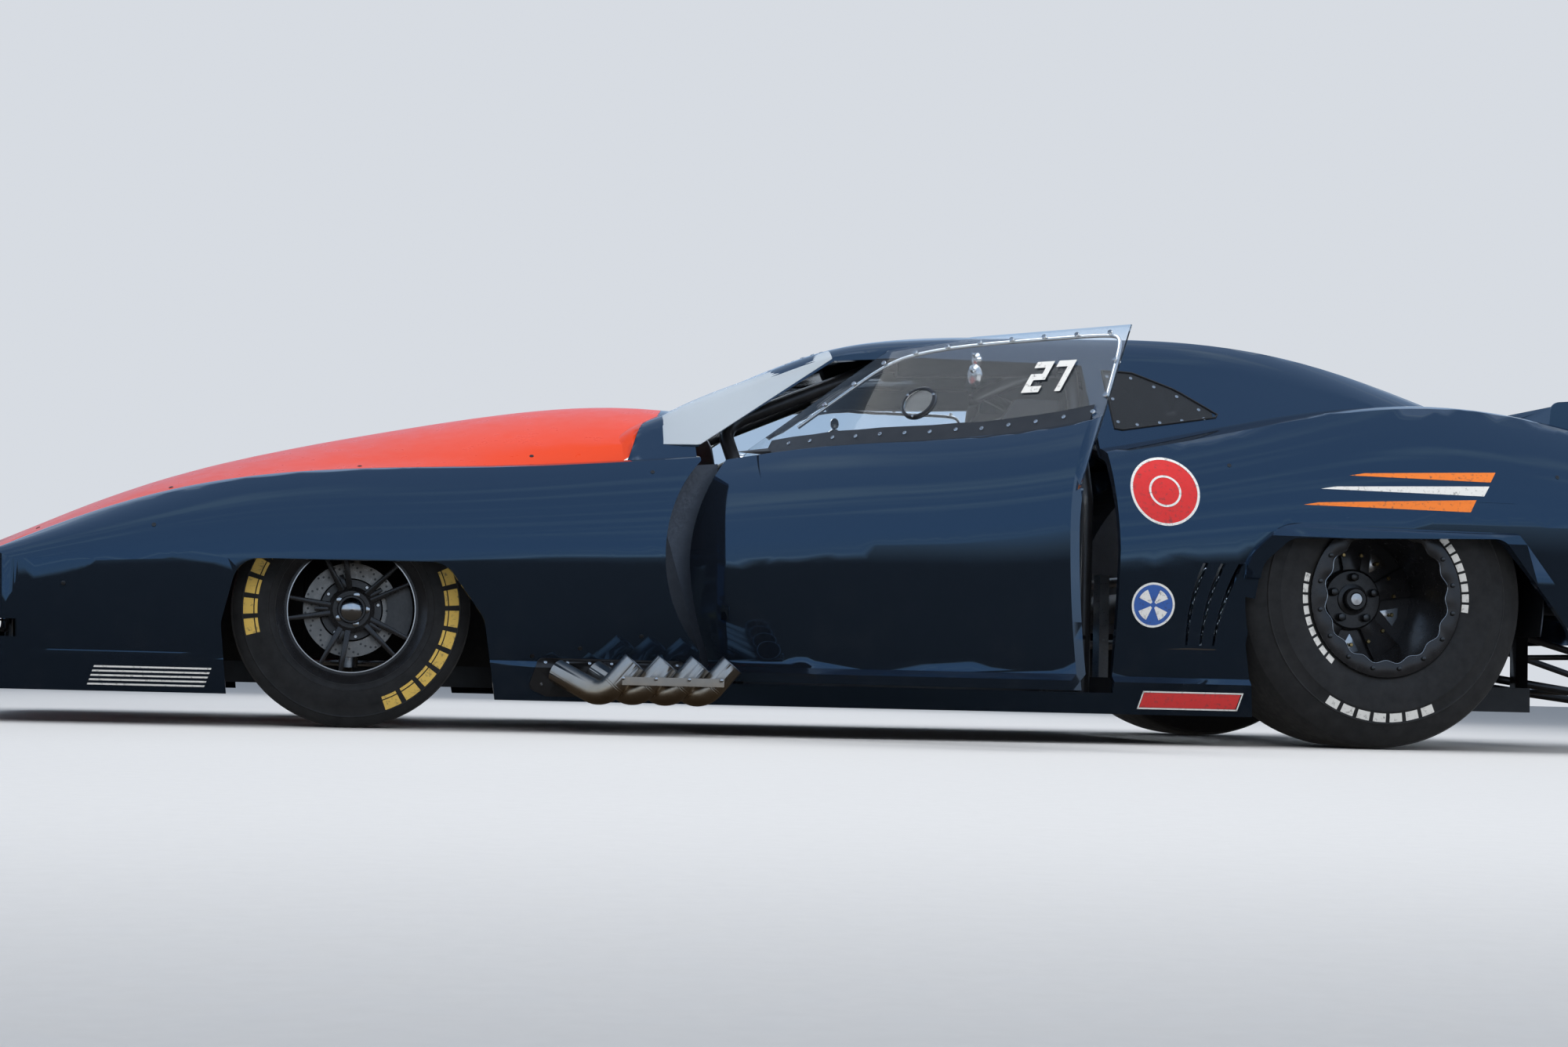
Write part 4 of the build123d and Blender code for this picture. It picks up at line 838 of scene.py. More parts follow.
class Loft:
    """A body surface through rows of corners, for its normals at any place."""

    def __init__(self, rows, bulges):
        self.xs = [row[0] for row in rows]
        self.bulges = bulges
        flat = [[c for corner in row[1:-1] for c in corner] + [row[-1]] for row in rows]
        self.columns = [self.slopes([row[k] for row in flat]) for k in range(len(flat[0]))]

    def slopes(self, values):
        """A natural spline's values and second derivatives."""
        xs, count = self.xs, len(self.xs)
        upper, right, bend = [0.0] * count, [0.0] * count, [0.0] * count
        for i in range(1, count - 1):
            before, after = xs[i] - xs[i - 1], xs[i + 1] - xs[i]
            pivot = 2 * (before + after) - before * upper[i - 1]
            upper[i] = after / pivot
            rise = (values[i + 1] - values[i]) / after - (values[i] - values[i - 1]) / before
            right[i] = (6 * rise - before * right[i - 1]) / pivot
        for i in range(count - 2, 0, -1):
            bend[i] = right[i] - upper[i] * bend[i + 1]
        return values, bend

    def section(self, x):
        """The corners, bottom first, and the crown's height at x."""
        xs = self.xs
        x = min(max(x, xs[0]), xs[-1])
        i = max(k for k in range(len(xs) - 1) if xs[k] <= x)
        gap = xs[i + 1] - xs[i]
        a, b = (xs[i + 1] - x) / gap, (x - xs[i]) / gap
        row = [
            a * values[i] + b * values[i + 1]
            + ((a ** 3 - a) * bend[i] + (b ** 3 - b) * bend[i + 1]) * gap * gap / 6
            for values, bend in self.columns
        ]
        return [Vector((row[k], row[k + 1])) for k in range(0, len(row) - 1, 2)], row[-1]

    def arcs(self, x):
        """(start, end, bulge) of each edge of the section, the last over the crown."""
        corners, crown = self.section(x)
        edges = [(start, end, bulge) for start, end, bulge in zip(corners, corners[1:], self.bulges)]
        last = corners[-1]
        edges.append((last, Vector((-last.x, last.y)), crown - last.y))
        return edges

    @staticmethod
    def on_arc(edge, t):
        """The point at t along a flat arc."""
        start, end, bulge = edge
        run = end - start
        out = Vector((run.y, -run.x)).normalized()
        if run.x < -abs(run.y) * 0.05 and out.y < 0:
            out = -out
        return start.lerp(end, t) + out * (bulge * 4 * t * (1 - t))

    def normal(self, x, y, z):
        """(distance, outward normal) of the surface nearest to a place on the right-hand side."""
        best = None
        place_here = Vector((y, z))
        edges = self.arcs(x)
        for number, edge in enumerate(edges):
            start, end, _ = edge
            run = end - start
            t = (place_here - start).dot(run) / run.length_squared
            if t < -0.02 or t > 1.02:
                continue
            t = min(max(t, 0.0), 1.0)
            gap = (self.on_arc(edge, t) - place_here).length
            if best is None or gap < best[0]:
                best = (gap, number, t)
        if best is None:
            return None
        gap, number, t = best
        step, reach = 0.01, 0.02
        low, high = max(0.0, t - step), min(1.0, t + step)
        along_section = self.on_arc(edges[number], high) - self.on_arc(edges[number], low)
        ahead = self.on_arc(self.arcs(x + reach)[number], t) - self.on_arc(self.arcs(x - reach)[number], t)
        normal = Vector((2 * reach, ahead.x, ahead.y)).cross(Vector((0, along_section.x, along_section.y)))
        normal.normalize()
        if normal.y < 0 or (abs(normal.y) < 0.02 and normal.z < 0):
            normal = -normal
        return gap, normal


LOFTS = []


def clean_highlights(piece, limit_deg=9.0, reach=0.004, back=None):
    """Gives the skin's corners the true surface's normals; back takes the piece to its place on the body."""
    if not LOFTS:
        LOFTS.extend([Loft(SECTIONS, SECTION_BULGES), Loft(HOUSE, HOUSE_BULGES)])
    mesh = piece.data
    mesh.update()
    found, cosine = {}, cos(radians(limit_deg))
    normals = [Vector(corner.vector) for corner in mesh.corner_normals]
    forward = back or Matrix()
    turn = forward.to_3x3()
    undo = turn.inverted()
    for polygon in mesh.polygons:
        flat = turn @ polygon.normal
        for corner in polygon.loop_indices:
            index = mesh.loops[corner].vertex_index
            if index not in found:
                point = forward @ mesh.vertices[index].co
                side = -1 if point.y < 0 else 1
                hits = [loft.normal(point.x, abs(point.y), point.z) for loft in LOFTS]
                found[index] = [Vector((hit[1].x, hit[1].y * side, hit[1].z)) for hit in hits
                                if hit and hit[0] < reach]
            for true in found[index]:
                if true.dot(flat) > cosine:
                    normals[corner] = undo @ true
                    break
    mesh.normals_split_custom_set(normals)
    return piece


# Wheels and tyres

def wheel_facts(node):
    """(centre, radius, half width) of a round node about an axle along Y."""
    low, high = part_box(node)
    return (low + high) / 2, (high.z - low.z) / 2, (high.y - low.y) / 2


def both_wheels(axle, made, rim):
    """Dresses (piece, finish) pairs of an axle's left wheel and their twins; rim stands for the CAD's."""
    for piece, material in made:
        base = piece.name
        piece.name = f"{base}_left"
        twin = copied(piece, ACROSS, f"{base}_right")
        for side, each in (("left", piece), ("right", twin)):
            dress(each, finish_of(material), f"{axle}_{side}_wheel",
                  replaces=[f"{axle}_rim_{side}"] if base == rim else ())


def around(centre, count, radius, first=0.0):
    """(x, z, angle) of count places on a circle about an axle."""
    for index in range(count):
        angle = first + 2 * pi * index / count
        yield centre.x + radius * cos(angle), centre.z + radius * sin(angle), angle


def hex_nut(name, place_at, across_flats, height, side):
    """A wheel nut with a rounded end, its axis along Y."""
    x, y, z = place_at
    deselect()
    bpy.ops.mesh.primitive_cylinder_add(vertices=6, radius=across_flats / 2, depth=height,
                                        location=(x, y + side * height / 2, z), rotation=(pi / 2, 0, 0))
    nut = settle(bpy.context.object)
    nut.name = name
    apply_modifier(nut, "BEVEL", width=across_flats * 0.08, segments=2, limit_method="NONE")
    return nut


def stud(name, place_at, radius, height, side, vertices=12):
    """A button head with its axis along Y."""
    x, y, z = place_at
    profile = [(AXIS, 0), (radius, 0), (radius, height * 0.55), (radius * 0.72, height), (AXIS, height)]
    return turned(name, [(r, along * side) for r, along in profile], (x, y, z), vertices)


def sidewall_marks(name, centre, side, radii, faces_y, arcs, finish, body, rise):
    """Dashed arcs on a tyre's sidewall; arcs are (first angle, last angle, dashes)."""
    inner, outer = radii
    marks = []
    for first, last, dashes in arcs:
        pitch = (last - first) / dashes
        for index in range(dashes):
            start = first + pitch * (index + 0.12)
            low_y, high_y = faces_y
            profile = [(inner, low_y - 0.002), (outer, high_y - 0.002), (outer, high_y + rise),
                       (inner, low_y + rise)]
            marks.append(turned(name, [(r, side * along) for r, along in profile], centre,
                                steps=8, angle=pitch * 0.76, start=start))
    piece = joined(name, marks)
    return dress(piece, finish, body, angle=30)


class DRAGCAR_OT_front_tyres(bpy.types.Operator):
    """Front runners with grooved treads and marked sidewalls"""

    bl_idname = "dragcar.front_tyres"
    bl_label = "Front tyres"

    def execute(self, context):
        settings = context.scene.dragcar_tyres
        for name, side in SIDES.items():
            centre, radius, half = wheel_facts(f"front_tyre_{name}")
            bead = radius * 0.656
            crown = [(radius, 0.030), (radius, 0.027), (radius - 0.004, 0.0265), (radius - 0.004, 0.0205),
                     (radius, 0.020), (radius, 0.012), (radius, 0.0055), (radius - 0.004, 0.005)]
            shoulder = [
                (bead - 0.006, half - 0.012), (bead + 0.002, half - 0.006), (bead + 0.010, half - 0.004),
                (bead + 0.012, half - 0.0005), (bead + 0.020, half - 0.001), (bead + 0.050, half),
                (bead + 0.053, half - 0.0012), (bead + 0.078, half - 0.003), (bead + 0.081, half - 0.0015),
                (bead + 0.084, half - 0.0045), (radius - 0.012, half - 0.008), (radius - 0.005, half - 0.013),
                (radius - 0.0015, half - 0.020), (radius, half - 0.028),
            ]
            outer = shoulder + crown
            closing = [(bead - 0.008, -half + 0.03), (bead - 0.008, half - 0.03)]
            profile = outer + [(r, -y) for r, y in reversed(outer)] + closing
            tyre = turned(f"front_runner_{name}", profile, centre, 96)
            body = f"front_{name}_wheel"
            dress(tyre, finish_of("tyre"), body, 24, [f"front_tyre_{name}"])
            sidewall_marks(
                f"front_marks_{name}", centre, side, (bead + 0.040, bead + 0.077),
                (half - 0.0002, half - 0.0026),
                [(radians(148), radians(206), 5), (radians(-62), radians(36), 8)],
                finish_of("front_marks"), body, settings.mark_rise,
            )
        return {"FINISHED"}


class DRAGCAR_OT_rear_tyres(bpy.types.Operator):
    """Wide rear slicks with ribbed, marked sidewalls"""

    bl_idname = "dragcar.rear_tyres"
    bl_label = "Rear slicks"

    def execute(self, context):
        settings = context.scene.dragcar_tyres
        for name, side in SIDES.items():
            centre, radius, half = wheel_facts(f"rear_tyre_{name}")
            bead = 0.2315
            outer = [
                (0.205, half - 0.034), (bead - 0.004, half - 0.024), (bead + 0.004, half - 0.016),
                (bead + 0.012, half - 0.013), (bead + 0.030, half - 0.007), (bead + 0.060, half - 0.0015),
                (bead + 0.095, half), (bead + 0.098, half - 0.0014), (bead + 0.128, half - 0.005),
                (bead + 0.131, half - 0.0035), (bead + 0.134, half - 0.0075), (bead + 0.158, half - 0.014),
                (radius - 0.026, half - 0.021), (radius - 0.013, half - 0.031),
                (radius - 0.006, half - 0.046),
                (radius - 0.0025, half - 0.075), (radius - 0.001, half - 0.12), (radius, 0.035),
            ]
            closing = [(0.204, -half + 0.05), (0.204, half - 0.05)]
            profile = outer + [(r, -y) for r, y in reversed(outer)] + closing
            tyre = turned(f"rear_slick_{name}", profile, centre, 112)
            body = f"rear_{name}_wheel"
            dress(tyre, finish_of("tyre"), body, 24, [f"rear_tyre_{name}"])
            sidewall_marks(
                f"rear_marks_{name}", centre, side, (bead + 0.101, bead + 0.126),
                (half - 0.0016, half - 0.0048),
                [(radians(-116), radians(-58), 7)], finish_of("rear_marks"), body, settings.mark_rise,
            )
            sidewall_marks(
                f"rear_bead_marks_{name}", centre, side, (bead + 0.006, bead + 0.024),
                (half - 0.0154, half - 0.0090),
                [(radians(170), radians(236), 9),
                 (radians(-4), radians(52), 8)], finish_of("rear_marks"), body,
                settings.mark_rise,
            )
        return {"FINISHED"}


class DRAGCAR_OT_front_wheels(bpy.types.Operator):
    """Front wheels with split spokes, hub cap, nuts and a drilled brake disc"""

    bl_idname = "dragcar.front_wheels"
    bl_label = "Front wheels"

    def execute(self, context):
        low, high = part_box("front_rim_left")
        centre = Vector(((low.x + high.x) / 2, 0, (low.z + high.z) / 2))
        lip = (high.z - low.z) / 2
        face = low.y
        well = lip - 0.0225
        depth = high.y - low.y
        barrel = [
            (lip, face), (lip, face + 0.006), (well + 0.005, face + 0.012), (well, face + 0.014),
            (well, face + depth - 0.014), (lip, face + depth - 0.006), (lip, face + depth - 0.001),
            (lip - 0.009, face + depth - 0.001), (well - 0.008, face + depth - 0.015),
            (well - 0.008, face + 0.030), (well - 0.006, face + 0.018), (well + 0.003, face + 0.010),
            (lip - 0.010, face + 0.003), (lip - 0.006, face),
        ]
        rim = turned("front_wheel_barrel", barrel, centre, 96)
        spokes = []
        back = face + 0.034
        hub_r = 0.046
        step_r = 0.170
        for index in range(5):
            angle = radians(180) - 2 * pi * index / 5
            for lean in (-1, 1):
                inner = Vector((cos(angle + lean * 0.20), 0, sin(angle + lean * 0.20))) * (hub_r - 0.006)
                outer = Vector((cos(angle + lean * 0.17), 0, sin(angle + lean * 0.17))) * (step_r + 0.004)
                along = (outer - inner).normalized()
                wide = Vector((-along.z, 0, along.x))
                outline = [inner - wide * 0.0085, inner + wide * 0.0085, outer + wide * 0.0058,
                           outer - wide * 0.0058]
                points = [Vector((centre.x + p.x, back + (0.004 if k in (0, 1) else -0.006), centre.z + p.z))
                          for k, p in enumerate(outline)]
                spoke = slab("spoke", points, (0, 0.019, 0), 0.0035)
                spokes.append(spoke)
            web_in, web_out = 0.050, 0.098
            ends = []
            for reach, half in ((web_in, 0.13), (web_out, 0.060)):
                for lean in ((-1, 1) if reach == web_in else (1, -1)):
                    ends.append(Vector((centre.x + cos(angle + lean * half) * reach, back + 0.006,
                                        centre.z + sin(angle + lean * half) * reach)))
            spokes.append(slab("spoke_web", ends, (0, 0.010, 0), 0.002))
        hub = turned("hub_drum", [(0.020, back - 0.002), (0.050, back - 0.002), (0.062, back + 0.006),
                                  (0.064, back + 0.060), (0.020, back + 0.060)], centre, 48)
        holes = []
        for x, z, _ in around(centre, 5, 0.0405, radians(144)):
            holes.append(hex_nut("nut", (x, back - 0.010, z), 0.019, 0.014, 1))
        step = turned("front_wheel_step", [
            (step_r, back - 0.010), (well - 0.006, back - 0.010), (well - 0.006, back + 0.010),
            (step_r, back + 0.010),
        ], centre, 96)
        rim = joined("front_wheel_barrel", [rim, hub, step, *spokes])
        nuts = joined("front_wheel_nuts", holes)
        bright = turned("front_wheel_bright_edge", [
            (step_r - 0.0012, back - 0.0112), (step_r + 0.0014, back - 0.0112),
            (step_r + 0.0014, back - 0.006),
            (step_r - 0.0012, back - 0.006),
        ], centre, 96)
        cap = turned("front_hub_cap", [(AXIS, face - 0.001), (0.012, face + 0.0002), (0.023, face + 0.004),
                                       (0.0305, face + 0.010), (0.0325, face + 0.016), (AXIS, face + 0.016)],
                     centre, 48)
        cap_seat = turned("front_hub_seat",
                          [(0.012, face + 0.014), (0.036, face + 0.014), (0.0385, face + 0.018),
                                             (0.0385, back + 0.004), (0.012, back + 0.004)], centre, 48)
        disc_y = -0.672
        disc_r, hat_r = 0.128, 0.086
        disc = turned("front_disc", [(hat_r - 0.002, disc_y), (disc_r, disc_y), (disc_r, disc_y + 0.008),
                                     (hat_r - 0.002, disc_y + 0.008)], centre, 96)
        drills = []
        for ring, first in ((0.097, 0.0), (0.106, 0.10), (0.115, 0.20), (0.122, 0.30)):
            for x, z, _ in around(centre, 15, ring, first):
                drills.append(turned("drill", [(AXIS, 0.0002), (0.0032, 0.0002), (0.0032, -0.0006),
                                               (AXIS, -0.0006)], Vector((x, disc_y, z)), 10))
        drilled = joined("front_disc_holes", drills)
        hat = turned("front_disc_hat", [(0.060, disc_y - 0.010), (hat_r - 0.004, disc_y - 0.010),
                                        (hat_r, disc_y - 0.006), (hat_r, disc_y + 0.010),
                                        (0.060, disc_y + 0.010)],
                     centre, 64)
        bolts = joined("front_disc_bolts", [stud("bolt", (x, disc_y - 0.010, z), 0.0055, 0.004, -1)
                                            for x, z, _ in around(centre, 8, 0.074, 0.2)])
        both_wheels("front", [
            (rim, "wheel_black"), (nuts, "machined"), (cap, "machined"), (cap_seat, "wheel_black"),
            (disc, "worn_disc"), (bright, "machined"), (drilled, "dark_metal"), (hat, "dark_metal"),
            (bolts, "machined"),
        ], "front_wheel_barrel")
        return {"FINISHED"}


class DRAGCAR_OT_wheel_liners(bpy.types.Operator):
    """Dark sheet liners between the front wheels and the engine bay"""

    bl_idname = "dragcar.wheel_liners"
    bl_label = "Wheel liners"

    def execute(self, context):
        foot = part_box("frame_rails")[0].z + 0.06
        outline = [(-1.86, foot), (-1.02, foot), (-1.02, 0.50), (-1.12, 0.56), (-1.76, 0.56), (-1.86, 0.46)]
        inner_y, thickness = 0.356, 0.003
        sheet = slab("wheel_liner", [Vector((x, inner_y, z)) for x, z in outline], (0, thickness, 0), 0.001)
        beads = []
        for x in (-1.72, -1.58, -1.44, -1.30, -1.16):
            corners = bar_outline(x - 0.006, x + 0.006, foot + 0.03, 0.50)
            beads.append(slab("bead", [Vector((a, inner_y + thickness, b)) for a, b in corners],
                              (0, 0.004, 0), 0.0015))
        both_sides("wheel_liner", joined("wheel_liner", [sheet, *beads]), "liner_black")
        return {"FINISHED"}


class DRAGCAR_OT_rear_wheels(bpy.types.Operator):
    """Deep rear wheels with a bolted beadlock ring and a star centre"""

    bl_idname = "dragcar.rear_wheels"
    bl_label = "Rear wheels"

    def execute(self, context):
        low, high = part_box("rear_rim_left")
        centre = Vector(((low.x + high.x) / 2, 0, (low.z + high.z) / 2))
        face = low.y
        ring_r, barrel_r = 0.230, 0.203
        inner_face = face + 0.424
        barrel = turned("rear_wheel_barrel", [
            (barrel_r + 0.017, inner_face), (barrel_r + 0.017, inner_face - 0.007),
            (barrel_r, inner_face - 0.014), (barrel_r - 0.004, face + 0.26), (barrel_r - 0.004, face + 0.20),
            (barrel_r, face + 0.026), (ring_r - 0.003, face + 0.015), (ring_r - 0.003, face + 0.012),
            (barrel_r - 0.012, face + 0.012), (barrel_r - 0.010, face + 0.030),
            (barrel_r - 0.014, face + 0.20),
            (barrel_r - 0.014, face + 0.26), (barrel_r - 0.009, inner_face - 0.012),
            (barrel_r + 0.004, inner_face),
        ], centre, 112)
        lobes = 16
        scallop = []
        for index in range(lobes * 12):
            angle = 2 * pi * index / (lobes * 12)
            wave = cos(angle * lobes)
            reach = 0.1865 - 0.0055 * wave
            scallop.append((centre.x + reach * cos(angle), face + 0.001, centre.z + reach * sin(angle)))
        ring = beadlock_ring(scallop, centre, ring_r, face)
        edge = bent_bar("rear_ring_edge", [*scallop, scallop[0]], 0.0011, 2, smooth_run=False)
        bolts = joined("rear_ring_bolts", [
            hex_nut("bolt", (x, face + 0.001, z), 0.0135, 0.006, -1)
            for x, z, _ in around(centre, lobes, 0.2075, pi / lobes)
        ])
        plate_y = face + 0.240
        star = []
        for index in range(5):
            angle = pi / 2 + 2 * pi * index / 5
            along = Vector((cos(angle), 0, sin(angle)))
            wide = Vector((-along.z, 0, along.x))
            outline = [
                along * 0.045 - wide * 0.034, along * 0.045 + wide * 0.034, along * 0.092 + wide * 0.028,
                along * 0.150 + wide * 0.040, along * (barrel_r - 0.012) + wide * 0.046,
                along * (barrel_r - 0.012) - wide * 0.046, along * 0.150 - wide * 0.040,
                along * 0.092 - wide * 0.028,
            ]
            points = [Vector((centre.x + p.x, plate_y, centre.z + p.z)) for p in outline]
            star.append(slab("star_arm", points, (0, 0.020, 0), 0.004))
        boss = turned("star_boss",
                      [(0.030, plate_y - 0.006), (0.084, plate_y - 0.006), (0.092, plate_y + 0.002),
                                    (0.092, plate_y + 0.022), (0.030, plate_y + 0.022)], centre, 64)
        web = turned("star_web", [(0.060, plate_y + 0.014), (barrel_r - 0.013, plate_y + 0.014),
                                  (barrel_r - 0.013, plate_y + 0.022), (0.060, plate_y + 0.022)], centre, 96)
        hub = turned("rear_hub", [(AXIS, plate_y - 0.034), (0.030, plate_y - 0.034), (0.034, plate_y - 0.030),
                                  (0.034, plate_y - 0.012), (0.046, plate_y - 0.010),
                                  (0.046, plate_y + 0.020),
                                  (AXIS, plate_y + 0.020)], centre, 48)
        hub_cap = turned("rear_hub_cap", [(AXIS, plate_y - 0.037), (0.017, plate_y - 0.0365),
                                          (0.0205, plate_y - 0.034), (AXIS, plate_y - 0.033)], centre, 40)
        lugs = joined("rear_wheel_nuts", [
            hex_nut("lug", (x, plate_y - 0.006, z), 0.026, 0.020, -1) for x, z, _ in
            around(centre, 5, 0.066, pi / 2)
        ])
        plate_bolts = joined("rear_plate_bolts", [
            stud("bolt", (x, plate_y + 0.001, z), 0.0065, 0.006, -1) for x, z, _ in
            around(centre, 15, 0.134, 0.1)
        ])
        insets = []
        for index in range(5):
            angle = pi / 2 + pi / 5 + 2 * pi * index / 5
            along = Vector((cos(angle), 0, sin(angle)))
            wide = Vector((-along.z, 0, along.x))
            outline = [along * 0.100, along * 0.152 + wide * 0.030, along * 0.160,
                       along * 0.152 - wide * 0.030]
            points = [Vector((centre.x + p.x, plate_y + 0.0115, centre.z + p.z)) for p in outline]
            insets.append(slab("inset", points, (0, 0.003, 0), 0.001))
        insets = joined("rear_plate_insets", insets)
        wheel = joined("rear_wheel_barrel", [barrel, boss, web, *star])
        both_wheels("rear", [
            (wheel, "wheel_black"), (ring, "wheel_black"), (edge, "machined"), (bolts, "dark_metal"),
            (hub, "wheel_black"), (hub_cap, "machined"), (lugs, "dark_metal"), (plate_bolts, "brass"),
            (insets, "machined"),
        ], "rear_wheel_barrel")
        return {"FINISHED"}


def beadlock_ring(scallop, centre, ring_r, face):
    """The flat ring between its scalloped inner edge and its round outer edge, with a rounded rim."""
    ring = outline_piece("rear_beadlock_ring", scallop)
    edit_all()
    bpy.ops.mesh.extrude_edges_move(TRANSFORM_OT_translate={"value": (0, 0, 0)})
    bpy.ops.object.mode_set(mode="OBJECT")
    count = len(scallop)
    for vertex in list(ring.data.vertices)[count:]:
        away = Vector((vertex.co.x - centre.x, 0, vertex.co.z - centre.z)).normalized()
        vertex.co = Vector((centre.x, face + 0.001, centre.z)) + away * ring_r
    edit_all()
    bpy.ops.mesh.extrude_region_move(TRANSFORM_OT_translate={"value": (0, 0.011, 0)})
    tidy_mesh(ring)
    return rounded(ring, 0.0018, sharpest=50)


# Panels and trim

HINGE = Vector((-0.44, -0.88, 0))
LEFT_DOOR = about(HINGE, "Z", radians(-48)) @ ACROSS
SHUT_AGAIN = about(HINGE, "Z", radians(48))
GLOSSY = ("black_paint", "orange_paint", "polycarbonate", "tinted_window")
DRESSED = ("front_tyre", "rear_tyre", "front_rim", "rear_rim", "parachute_packs")


class DRAGCAR_OT_finish_panels(bpy.types.Operator):
    """Smooth copies of the panels, tubes and members, each in its finish"""

    bl_idname = "dragcar.finish_panels"
    bl_label = "Panels and members"

    def execute(self, context):
        bodies = frame["record"]["behaviour"]["bodies"]
        for entry in frame["record"]["subparts"]:
            node, slot = entry["node"], entry["material_slot"]
            if node.startswith(DRESSED):
                continue
            body = next(name for name, nodes in bodies.items() if node in nodes)
            piece = copied(NODES[node], Matrix(), f"{node}_skin")
            tidy_mesh(piece, 0.00002)
            dress(piece, finish_of("dark_metal" if node.startswith("knuckle") else slot), body, 26,
                  [node])
            if slot in GLOSSY:
                clean_highlights(piece, back=SHUT_AGAIN if body == "left_door" else None)
        return {"FINISHED"}


class DRAGCAR_OT_fender_skins(bpy.types.Operator):
    """The rear fenders' skins, whole over the tyres"""

    bl_idname = "dragcar.fender_skins"
    bl_label = "Fender skins"

    def execute(self, context):
        loft = Loft(SECTIONS, SECTION_BULGES)
        middle_x, length = 1.46, 0.74
        shoulder, middle_share, share = 3, 0.53, 0.70
        proud, thickness = 0.0004, 0.003
        for name, side in SIDES.items():
            bpy.ops.mesh.primitive_grid_add(x_subdivisions=56, y_subdivisions=18, size=1)
            skin = settle(bpy.context.object)
            skin.name = f"fender_skin_{name}"
            for vertex in skin.data.vertices:
                x = middle_x + length * vertex.co.x
                y, z = loft.on_arc(loft.arcs(x)[shoulder], middle_share + share * vertex.co.y)
                vertex.co = (x, side * (y + proud), z)
            if side > 0:
                skin.data.flip_normals()
            apply_modifier(skin, "SOLIDIFY", thickness=thickness, offset=-1)
            dress(skin, finish_of("black_paint"), "chassis", 30)
            clean_highlights(skin)
        return {"FINISHED"}


class DRAGCAR_OT_windscreen_wraps(bpy.types.Operator):
    """The windscreen sheet where it wraps round onto the car's sides, down to the pillars; its pale tint over
    the painted body is a painted reflection
    """

    bl_idname = "dragcar.windscreen_wraps"
    bl_label = "Windscreen wraps"

    def execute(self, context):
        loft = Loft(HOUSE, HOUSE_BULGES)
        front, foot, head = -0.685, (-0.52, 0.805), (-0.125, 1.078)
        side_share, top_reach = 0.6, 0.9
        out, lift, thickness = 0.0018, 0.0012, 0.0025
        for name, side in SIDES.items():
            bpy.ops.mesh.primitive_grid_add(x_subdivisions=60, y_subdivisions=16, size=1)
            sheet = settle(bpy.context.object)
            sheet.name = f"windscreen_wrap_{name}"
            for vertex in sheet.data.vertices:
                x = front + (head[0] - front) * (vertex.co.x + 0.5)
                up = vertex.co.y + 0.5
                side_edge, top_edge = loft.arcs(x)[:2]
                rise = max(0.0, (x - foot[0]) / (head[0] - foot[0]))
                low = foot[1] + (head[1] - foot[1]) * rise
                start = (low - side_edge[0].y) / (side_edge[1].y - side_edge[0].y)
                start = min(start, 0.995)
                if up < side_share:
                    y, z = loft.on_arc(side_edge, start + (1 - start) * up / side_share)
                else:
                    y, z = loft.on_arc(top_edge, (up - side_share) / (1 - side_share) * top_reach)
                vertex.co = (x, side * (y + out), z + lift)
            if side > 0:
                sheet.data.flip_normals()
            apply_modifier(sheet, "SOLIDIFY", thickness=thickness, offset=-1)
            # Over the opaque painted body, the pale window_edge tint is painted sky reflection and painted
            # see-through brightness.
            dress(sheet, finish_of("window_edge"), "chassis", 30)
        return {"FINISHED"}


def both_doors(base, piece, material, angle=30):
    """Dresses a piece made on the shut right door, with its twin on the open left one."""
    twin = copied(piece, LEFT_DOOR, f"{base}_left")
    piece.name = f"{base}_right"
    dress(piece, finish_of(material), "right_door", angle)
    dress(twin, finish_of(material), "left_door", angle)


def both_sides(base, piece, material, angle=30, body="chassis"):
    """Dresses a piece of the right side with its twin on the left."""
    twin = copied(piece, ACROSS, f"{base}_left")
    piece.name = f"{base}_right"
    dress(piece, finish_of(material), body, angle)
    dress(twin, finish_of(material), body, angle)


def fastener(radius, height, vertices=24):
    """A dished quarter-turn head, its axis along Y."""
    return turned("head", [
        (AXIS, height * 0.55), (radius * 0.62, height * 0.55), (radius * 0.70, height),
        (radius * 0.92, height * 0.8), (radius, 0.0), (radius, -0.002), (AXIS, -0.002),
    ], (0, 0, 0), vertices)


def placed_heads(name, spots, radius, height=0.0016):
    """Heads at (point, normal) spots, as one object."""
    pattern = fastener(radius, height)
    bar = block("bar", (-radius * 0.5, height * 0.5, -radius * 0.09),
                (radius * 0.5, height * 1.05, radius * 0.09),
                radius * 0.04, 1)
    pattern = joined("head", [pattern, bar])
    heads = []
    for number, (point, normal) in enumerate(spots):
        turn = Vector((0, 1, 0)).rotation_difference(normal).to_matrix().to_4x4()
        spin = Matrix.Rotation(number * 0.7, 4, "Y")
        heads.append(copied(pattern, Matrix.Translation(point) @ turn @ spin))
    bpy.data.objects.remove(pattern)
    return joined(name, heads)


def along(points, spacing, closed=False):
    """Places at even spacing on a run of flat (a, b) points."""
    run = [Vector(p) for p in points]
    if closed:
        run.append(run[0])
    lengths = [(b - a).length for a, b in zip(run, run[1:])]
    total = sum(lengths)
    count = max(1, round(total / spacing))
    places = []
    for index in range(count if closed else count + 1):
        reach = total * index / count
        for start, end, length in zip(run, run[1:], lengths):
            if reach <= length + 1e-9:
                places.append(start.lerp(end, reach / length if length else 0))
                break
            reach -= length
    return places


